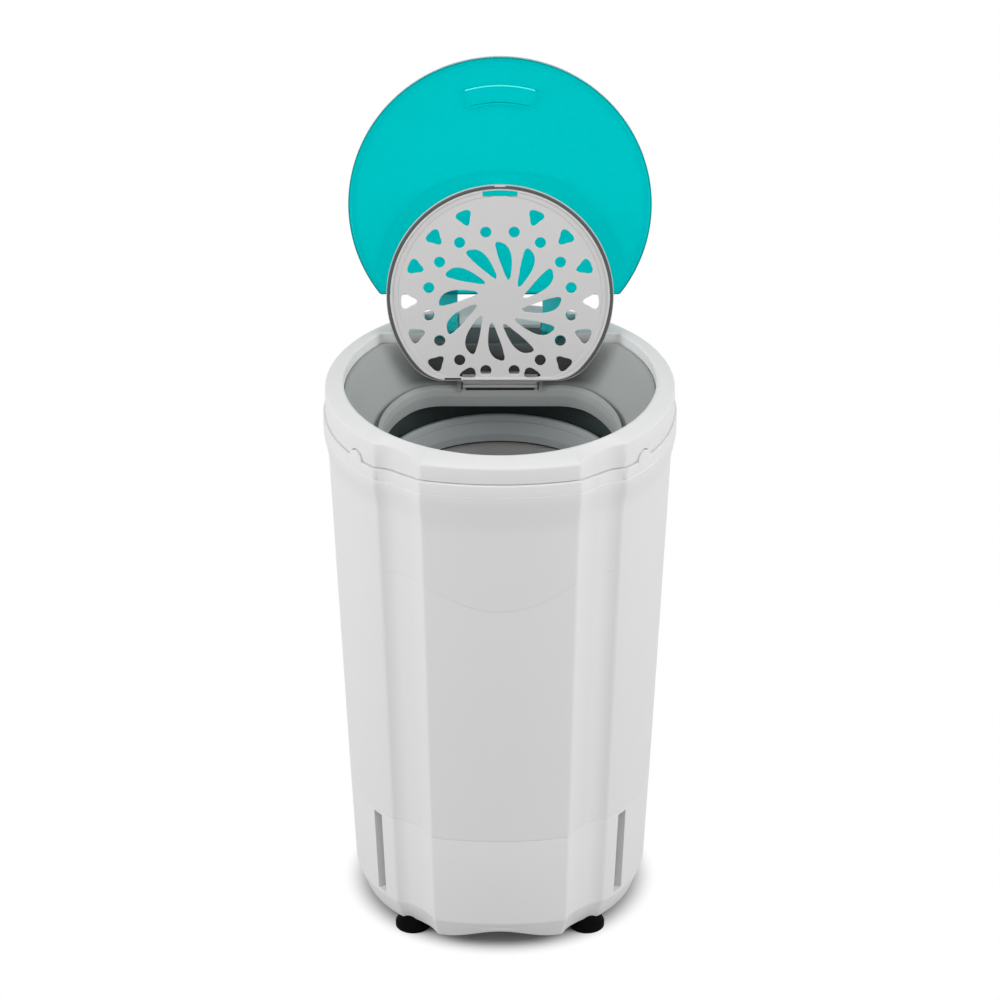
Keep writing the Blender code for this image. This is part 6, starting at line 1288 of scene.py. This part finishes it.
join(arms, along_x(CAM_RADIUS, ROD_X - CAM_HALF_WIDTH, ROD_X + CAM_HALF_WIDTH, CAM_OFFSET * math.sin(closing),
                   -CAM_OFFSET * math.cos(closing), CAM_SIDES))
cut(arms, along_x(OUTER_PIN_BORE, -BLOCK_HALF_WIDTH, BLOCK_HALF_WIDTH, 0, 0))
# Painted shade: a dark teal strip along the lid's lower edge.
rim_rows = [(0.0014, OUTER_RIM_BOTTOM + 0.0004), (0.0014, OUTER_RIM_BOTTOM - 0.0002),
            (0.0001, OUTER_RIM_BOTTOM - 0.0002), (0.0001, OUTER_RIM_BOTTOM + 0.0004)]
rim_edge = add_piece("clear_lid_rim_edge", skin([lid_row(*row) for row in rim_rows]), "teal_rim")
for piece in (outer_lid, arms, rim_edge):
    piece.data.transform(outer_place)
# A painted highlight: a bright teal strip along the finger recess's outer edge.
grip_highlight = add_piece("clear_lid_grip_line", sector(
    GRIP_OUTER_RADIUS + GRIP_WALL - 0.0013, GRIP_OUTER_RADIUS + GRIP_WALL, GRIP_HALF_DEG,
    GRIP_FLOOR - GRIP_WALL - 0.0003, GRIP_FLOOR - GRIP_WALL + 0.0003), "teal_edge", place=outer_place)
for piece in (outer_lid, arms, rim_edge, grip_highlight):
    dress(piece, "outer_lid", "teal_clear_plastic", "outer_lid")

# %% [markdown]
# ## Perforated drum
# Water leaves the washing through over a thousand small round holes in the drum's wall. They
# repeat, so Geometry Nodes make them: a flat cell with one eight-sided hole is set out in
# staggered rows, the sheet is rolled round the axis, and a second skin gives it its thickness.

# %% A cell with one hole
DRUM_RADIUS = 0.1247
DRUM_WALL = 0.0012
DRUM_BOTTOM = 0.1850
DRUM_TOP = 0.4400
DRUM_EDGE = 0.4680
DRUM_COLUMNS = 56
DRUM_ROWS = 20
DRUM_HOLE_RADIUS = 0.0026
DRUM_WELD = 0.00005


def drum_cell():
    """A unit cell: a square with middle points on its sides and a hole of eight sides."""
    shape = bmesh.new()
    hole_share = DRUM_HOLE_RADIUS / ((DRUM_TOP - DRUM_BOTTOM) / DRUM_ROWS)
    outer = [(-0.5, -0.5), (0, -0.5), (0.5, -0.5), (0.5, 0), (0.5, 0.5), (0, 0.5), (-0.5, 0.5), (-0.5, 0)]
    rim_points = []
    for index in range(8):
        angle = math.radians(45 * index - 135)
        rim_points.append((hole_share * math.cos(angle), hole_share * math.sin(angle)))
    outer_verts = [shape.verts.new((x, y, 0)) for x, y in outer]
    rim_verts = [shape.verts.new((x, y, 0)) for x, y in rim_points]
    for index in range(8):
        following = (index + 1) % 8
        shape.faces.new((outer_verts[index], outer_verts[following], rim_verts[following], rim_verts[index]))
    return add_piece("drum_cell", shape, None)


def set_out(tree, points, thing, rotation=None):
    """Copies of an object on points, made real."""
    source = add_node(tree, "GeometryNodeObjectInfo", {"Object": thing}).outputs["Geometry"]
    copies = add_node(tree, "GeometryNodeInstanceOnPoints", {"Points": points, "Instance": source})
    if rotation:
        tree.links.new(rotation, copies.inputs["Rotation"])
    real = add_node(tree, "GeometryNodeRealizeInstances", {"Geometry": copies.outputs["Instances"]})
    return real.outputs["Geometry"]


def put_out(tree, geometry, finish, result):
    """Give the geometry its finish as the result of the tree."""
    done = add_node(tree, "GeometryNodeSetMaterial", {"Geometry": geometry, "Material": finish})
    tree.links.new(done.outputs["Geometry"], result.inputs["Geometry"])


def drum_tree():
    """Cells in staggered rows, rolled round the axis."""
    tree, given, result = start_group("perforated_drum", "GeometryNodeTree", [
        ("Cell", "Object", None), ("Columns", "Int", DRUM_COLUMNS), ("Rows", "Int", DRUM_ROWS),
        ("Radius", "Float", DRUM_RADIUS), ("Bottom", "Float", DRUM_BOTTOM), ("Top", "Float", DRUM_TOP),
        ("Finish", "Material", None)], [("Geometry", "Geometry")])
    value = given.outputs

    def calc(operation, *values):
        return math_node(tree, operation, *values)

    count = calc("MULTIPLY", value["Columns"], value["Rows"])
    line = add_node(tree, "GeometryNodeMeshLine", {"Count": count})
    index = tree.nodes.new("GeometryNodeInputIndex").outputs[0]
    row = calc("FLOOR", calc("DIVIDE", index, value["Columns"]))
    column = calc("MODULO", index, value["Columns"])
    stagger = calc("MULTIPLY", calc("MODULO", row, 2.0), 0.5)
    place = add_node(tree, "ShaderNodeCombineXYZ", {
        "X": calc("ADD", column, stagger), "Y": calc("ADD", row, 0.5)}).outputs[0]
    laid = add_node(tree, "GeometryNodeSetPosition", {"Geometry": line.outputs["Mesh"], "Position": place})
    sheet = set_out(tree, laid.outputs["Geometry"], value["Cell"])
    position = tree.nodes.new("GeometryNodeInputPosition").outputs[0]
    flat = add_node(tree, "ShaderNodeSeparateXYZ", {0: position})
    angle = calc("MULTIPLY", calc("DIVIDE", flat.outputs["X"], value["Columns"]), 2 * math.pi)
    height = calc("DIVIDE", flat.outputs["Y"], value["Rows"])
    span = calc("SUBTRACT", value["Top"], value["Bottom"])
    rolled = add_node(tree, "ShaderNodeCombineXYZ", {
        "X": calc("MULTIPLY", calc("COSINE", angle), value["Radius"]),
        "Y": calc("MULTIPLY", calc("SINE", angle), value["Radius"]),
        "Z": calc("ADD", calc("MULTIPLY", height, span), value["Bottom"])}).outputs[0]
    wall = add_node(tree, "GeometryNodeSetPosition", {"Geometry": sheet, "Position": rolled})
    merged = add_node(tree, "GeometryNodeMergeByDistance", {
        "Geometry": wall.outputs["Geometry"], "Distance": DRUM_WELD})
    put_out(tree, merged.outputs["Geometry"], value["Finish"], result)
    return tree


def grown(name, tree, values, wall=0.0, place=None):
    """Run a Geometry Nodes tree with its inputs, and keep the result as a plain piece."""
    carrier = bpy.data.objects.new(name, bpy.data.meshes.new(name))
    bpy.context.collection.objects.link(carrier)
    nodes = carrier.modifiers.new("nodes", "NODES")
    nodes.node_group = tree
    keys = {item.name: item.identifier for item in tree.interface.items_tree if item.in_out == "INPUT"}
    for label, value in values.items():
        nodes[keys[label]] = value
    if wall:
        thick = carrier.modifiers.new("wall", "SOLIDIFY")
        thick.thickness = wall
        thick.offset = -1.0
    keep_result(carrier)
    if place is not None:
        carrier.data.transform(place)
    return carrier


cell = drum_cell()
drum_values = {"Cell": cell, "Columns": DRUM_COLUMNS, "Rows": DRUM_ROWS, "Radius": DRUM_RADIUS,
               "Bottom": DRUM_BOTTOM, "Top": DRUM_TOP, "Finish": FINISHES["satin_steel"]}
drum = grown("drum_wall", drum_tree(), drum_values, DRUM_WALL, Matrix.Translation((0, AXIS_Y, 0)))
bpy.data.objects.remove(cell, do_unlink=True)
drum_edge = add_piece("drum_edge_band", turned([
    (DRUM_RADIUS, DRUM_TOP, 0.0), (DRUM_RADIUS, DRUM_EDGE, 0.0003),
    (DRUM_RADIUS - DRUM_WALL, DRUM_EDGE, 0.0003), (DRUM_RADIUS - DRUM_WALL, DRUM_TOP, 0.0)], 112),
    "satin_steel")
for piece in (drum, drum_edge):
    dress(piece, "basket", "steel", "basket_wall")

# %% [markdown]
# ## Drum collar and bottom
# A hollow plastic collar on the drum's rim holds the balance water: the funnel ends just above it.
# A black ring under it is painted shade that gives the dark line inside the drum. The bottom is a
# dished moulding with ribs that meet at the hub.

# %% Drum collar and bottom
collar_corners = [
    (0.1261, 0.4580, 0.0), (0.1290, 0.4580, 0.0006), (0.1290, 0.4975, 0.0030), (0.1250, 0.4975, 0.0008),
    (0.1235, 0.4960, 0.0008), (0.1220, 0.4915, 0.0), (0.1228, 0.4909, 0.0), (0.1217, 0.4903, 0.0),
    (0.1172, 0.4782, 0.0008), (0.1172, 0.4700, 0.0), (0.1210, 0.4700, 0.0), (0.1210, 0.4683, 0.0),
    (0.1261, 0.4683, 0.0),
]
collar = add_piece("drum_collar", turned(collar_corners, 128), "collar_grey")
# Painted shade: a black ring under the collar gives the dark line inside the drum.
collar_shade_ring = add_piece("drum_collar_seal", turned([
    (0.1209, 0.4682, 0.0), (0.1209, 0.4702, 0.0), (0.1174, 0.4702, 0.0004), (0.1174, 0.4682, 0.0004)], 112),
    "black_plastic")
for piece in (collar, collar_shade_ring):
    dress(piece, "basket", "lid_grey_plastic", "basket_collar")

base_corners = [
    (0.0075, 0.1705, 0.0), (0.0200, 0.1705, 0.001), (0.0200, 0.1780, 0.002), (0.1192, 0.1780, 0.002),
    (0.1217, 0.1810, 0.001), (0.1217, 0.1900, 0.0006), (0.1192, 0.1900, 0.0006), (0.1192, 0.1845, 0.001),
    (0.1167, 0.1815, 0.002), (0.0230, 0.1815, 0.003), (0.0150, 0.1980, 0.001), (0.0075, 0.1980, 0.0),
]
drum_base = add_piece("drum_bottom", turned(base_corners, 96), "tub_grey")
dress(drum_base, "basket", "grey_plastic", "basket_base")


def rib_tree():
    """Ribs set out evenly round the axis; each is a bar given as an object."""
    tree, given, result = start_group("ribs_round_axis", "GeometryNodeTree", [
        ("Rib", "Object", None), ("Count", "Int", 12), ("Finish", "Material", None),
    ], [("Geometry", "Geometry")])
    value = given.outputs
    points = add_node(tree, "GeometryNodeMeshLine", {"Offset": (0, 0, 0), "Count": value["Count"]})
    index = tree.nodes.new("GeometryNodeInputIndex").outputs[0]
    step = math_node(tree, "DIVIDE", 2 * math.pi, value["Count"])
    turn = add_node(tree, "ShaderNodeCombineXYZ", {"Z": math_node(tree, "MULTIPLY", index, step)})
    solid = set_out(tree, points.outputs["Mesh"], value["Rib"], turn.outputs[0])
    put_out(tree, solid, value["Finish"], result)
    return tree


RIBS = rib_tree()
RIB_EDGE = 0.0005


def ribs(name, low, high, count, finish):
    """Equal ribs round the spin axis, from one box that points to the right."""
    rib = add_piece("rib", block(low, high, RIB_EDGE), None)
    values = {"Rib": rib, "Count": count, "Finish": FINISHES[finish]}
    made = grown(name, RIBS, values, place=Matrix.Translation((0, AXIS_Y, 0)))
    bpy.data.objects.remove(rib, do_unlink=True)
    return made


bottom_ribs = ribs("drum_bottom_ribs", (0.0180, -0.0012, 0.1812), (0.1150, 0.0012, 0.1858), 12, "tub_grey")
dress(bottom_ribs, "basket", "grey_plastic", "basket_base")

# %% [markdown]
# ## Feet, floor plate and rear fittings
# Four round rubber feet carry the dryer. Over them lies the floor plate with its vent grille,
# whose bars meet in a ring, and at the rear are the drain spout and the cable gland.

# %% Feet
FOOT_X = 0.0920
FOOT_Y = 0.0930
foot_corners = [
    (0.0055, 0.0, 0.0004), (0.0173, 0.0, 0.0006), (0.0185, 0.0012, 0.0006), (0.0185, 0.0070, 0.0010),
    (0.0165, 0.0090, 0.0004), (0.0168, 0.0098, 0.0004), (0.0110, 0.0185, 0.0010), (0.0070, 0.0185, 0.0),
    (0.0070, 0.0212, 0.0), (0.0024, 0.0212, 0.0), (0.0024, 0.0060, 0.0), (0.0055, 0.0060, 0.0),
]
for front, turn_y in (("front", -1), ("rear", 1)):
    for word, turn_x in (("left", -1), ("right", 1)):
        spot = Matrix.Translation((turn_x * FOOT_X, AXIS_Y + turn_y * FOOT_Y, 0))
        foot = add_piece(f"rubber_foot_{front}_{word}", turned(foot_corners, 48, spot), "dark_rubber")
        dress(foot, "casing", "dark_rubber", f"foot_{front}_{word}")

# %% Floor plate with vent grille
VENT_RADIUS = 0.0300
PLATE_LOW = 0.0215
PLATE_HIGH = 0.0245
PLATE_INSET = 0.0035
SCREW_HOLE_RADIUS = 0.0073

floor_rows = []
for azimuth in CASING_AZIMUTHS:
    edge_reach = BOTTOM_RADIUS * casing_share(azimuth) - PLATE_INSET
    corners = [(VENT_RADIUS, PLATE_LOW, 0.0005), (edge_reach, PLATE_LOW, 0.0005),
               (edge_reach, PLATE_HIGH, 0.0005), (VENT_RADIUS, PLATE_HIGH, 0.0005)]
    floor_rows.append([polar_point(azimuth, point.x, point.y) for point in softened(corners)])
floor_plate = add_piece("floor_plate", skin(floor_rows), "tub_grey")
for front in (-1, 1):
    for side in (-1, 1):
        cut(floor_plate, rod(SCREW_HOLE_RADIUS, PLATE_LOW - OVERCUT, PLATE_HIGH + OVERCUT,
                             Matrix.Translation((side * FOOT_X, AXIS_Y + front * FOOT_Y, 0))))
dress(floor_plate, "casing", "grey_plastic", "base_plate")
grille = ribs("vent_grille", (0.0095, -0.0010, PLATE_LOW + 0.0004), (0.0305, 0.0010, PLATE_HIGH - 0.0004),
              18, "tub_grey")
dress(grille, "casing", "grey_plastic", "base_plate")
hub_ring = add_piece("vent_hub", turned([
    (0.0070, PLATE_LOW + 0.0002, 0.0005), (0.0105, PLATE_LOW + 0.0002, 0.0005),
    (0.0105, PLATE_HIGH - 0.0002, 0.0005), (0.0070, PLATE_HIGH - 0.0002, 0.0005)], 48), "tub_grey")
dress(hub_ring, "casing", "grey_plastic", "base_plate")

# %% Drain spout and cable gland
DRAIN_Y = 0.0740
DRAIN_TUBE = 0.0125
DRAIN_BORE = 0.0105
DRAIN_BEND = 0.0180
DRAIN_TOP = 0.1430
DRAIN_END_Y = 0.1620
BEND_STEPS = 14
SPOUT_SIDES = 32
SPOUT_END = ((0.0150, 0.0), (0.0142, 0.0004), (0.0090, 0.0004), (0.0082, 0.0), (0.0006, 0.0), (0.0, -0.0006))


def drain_rows():
    """Rings along the outlet, outside first and back through the bore."""
    path = [Vector((0, DRAIN_TOP)), Vector((0, DRAIN_HEIGHT + DRAIN_BEND))]
    for index in range(1, BEND_STEPS + 1):
        angle = math.pi / 2 * index / BEND_STEPS
        path.append(Vector((DRAIN_BEND * (1 - math.cos(angle)),
                            DRAIN_HEIGHT + DRAIN_BEND - DRAIN_BEND * math.sin(angle))))
    swells = [0.0] * len(path) + [swell for away, swell in SPOUT_END]
    path += [Vector((DRAIN_END_Y - DRAIN_Y - away, DRAIN_HEIGHT)) for away, swell in SPOUT_END]
    outside = list(zip(path, [DRAIN_TUBE + swell for swell in swells]))
    bore = [(point, DRAIN_BORE) for point in reversed(path)]
    rows = []
    for order, direction in ((outside, 1), (bore, -1)):
        for index, (point, reach) in enumerate(order):
            before = order[max(index - 1, 0)][0]
            after = order[min(index + 1, len(order) - 1)][0]
            run = (after - before).normalized() * direction
            side_way = Vector((-run.y, run.x))
            row = []
            for step in range(SPOUT_SIDES):
                angle = 2 * math.pi * step / SPOUT_SIDES
                flat = point + side_way * reach * math.sin(angle)
                row.append((DRAIN_X + reach * math.cos(angle), AXIS_Y + DRAIN_Y + flat.x, flat.y))
            rows.append(row)
    return rows


spout = add_piece("drain_spout", skin(drain_rows()), "black_plastic")
dress(spout, "casing", "black_plastic", "drain_elbow")
gland_corners = [
    (0.0038, 0.1449, 0.0), (0.0080, 0.1449, 0.0), (0.0080, 0.1554, 0.0), (0.0115, 0.1554, 0.0006),
    (0.0115, 0.1584, 0.0012), (0.0072, 0.1584, 0.0006), (0.0065, 0.1612, 0.0003), (0.0071, 0.1618, 0.0003),
    (0.0064, 0.1624, 0.0003), (0.0069, 0.1638, 0.0003), (0.0065, 0.1664, 0.0008), (0.0038, 0.1664, 0.0004),
]
gland = add_piece("cable_gland", turned(gland_corners, 40, toward_rear(0, GLAND_HEIGHT)), "black_plastic")
dress(gland, "casing", "black_plastic", "cord_gland")

# %% [markdown]
# ## Finishes for the solids that stay
# Inside the casing the solids have the right shapes already, so they keep them and only take a
# finish: turned steel for the shaft, cast shields, stacked sheets for the motor's core, wound
# wire.

# %% Finishes of the carried-over solids
KEPT_FINISHES = {
    "tub_dark": "water_tub",
    "tub_grey": "terminal_block switch_plunger",
    "dark_rubber": "motor_mount_right motor_mount_rear_left motor_mount_front_left tub_bellows brake_pad",
    "drum_steel": "drive_shaft hub_nut bearing_lower bearing_upper",
    "zinc_steel": "mount_bolt_right mount_bolt_rear_left mount_bolt_front_left motor_bolt_1 motor_bolt_2 "
                  "motor_bolt_3 motor_bolt_4 foot_screw_front_left foot_screw_front_right "
                  "foot_screw_rear_left foot_screw_rear_right inner_lid_pin outer_lid_pin_left "
                  "outer_lid_pin_right brake_lever_pin interlock_rod brake_lever motor_plate capacitor_clamp",
    "cast_alloy": "motor_lower_shield motor_upper_shield brake_drum",
    "lamination_steel": "motor_stator motor_rotor",
    "enamelled_copper": "motor_winding_lower motor_winding_upper",
    "black_plastic": "splash_ring cord_gland_nut shaft_seal lid_switch capacitor",
}
for finish, names in KEPT_FINISHES.items():
    for name in names.split():
        for place in frame["nodes"][name].material_slots:
            place.material = FINISHES[finish]
    print(finish, "on", len(names.split()), "solids")

# %% [markdown]
# ## Floor
# The photograph's background is plain white and keeps only the soft shadow close round the dryer.
# The floor is a pale surface. For what the camera sees, it turns to plain white with the distance
# from the dryer, so that the contact shadow stays and the rest has no edge or horizon.

# %% Floor
FLOOR_HALF = 7.0
SHADOW_CENTRE_Y = 0.010
SHADOW_INNER = 0.132
SHADOW_OUTER = 0.168
FLOOR_TONE = (0.52, 0.52, 0.52, 1.0)


def floor_finish():
    """Pale floor, plain white away from the dryer for camera, gloss and clear rays."""
    made = bpy.data.materials.new("studio_floor")
    made.use_nodes = True
    tree = made.node_tree
    tree.nodes.clear()
    place = add_node(tree, "ShaderNodeTexCoord").outputs["Object"]
    centre = (0, AXIS_Y + SHADOW_CENTRE_Y, 0)
    offset = add_node(tree, "ShaderNodeVectorMath", {0: place, 1: centre}, operation="SUBTRACT").outputs[0]
    away = add_node(tree, "ShaderNodeVectorMath", {0: offset}, operation="LENGTH").outputs["Value"]
    fade = add_node(tree, "ShaderNodeMapRange", {
        "Value": away, "From Min": SHADOW_INNER, "From Max": SHADOW_OUTER}, interpolation_type="SMOOTHSTEP")
    share = math_node(tree, "MULTIPLY", seen_directly(tree), fade.outputs["Result"])
    matt = add_node(tree, "ShaderNodeBsdfDiffuse", {"Color": FLOOR_TONE})
    plain = add_node(tree, "ShaderNodeEmission", {"Color": WHITE, "Strength": 1.0})
    mixed = add_node(tree, "ShaderNodeMixShader", {0: share, 1: matt.outputs[0], 2: plain.outputs[0]})
    add_node(tree, "ShaderNodeOutputMaterial", {"Surface": mixed.outputs[0]})
    return made


shape = bmesh.new()
shape.faces.new([shape.verts.new((x * FLOOR_HALF, y * FLOOR_HALF, 0))
                 for x, y in ((-1, -1), (1, -1), (1, 1), (-1, 1))])
floor = add_piece("floor", shape, None)
floor.data.materials.append(floor_finish())
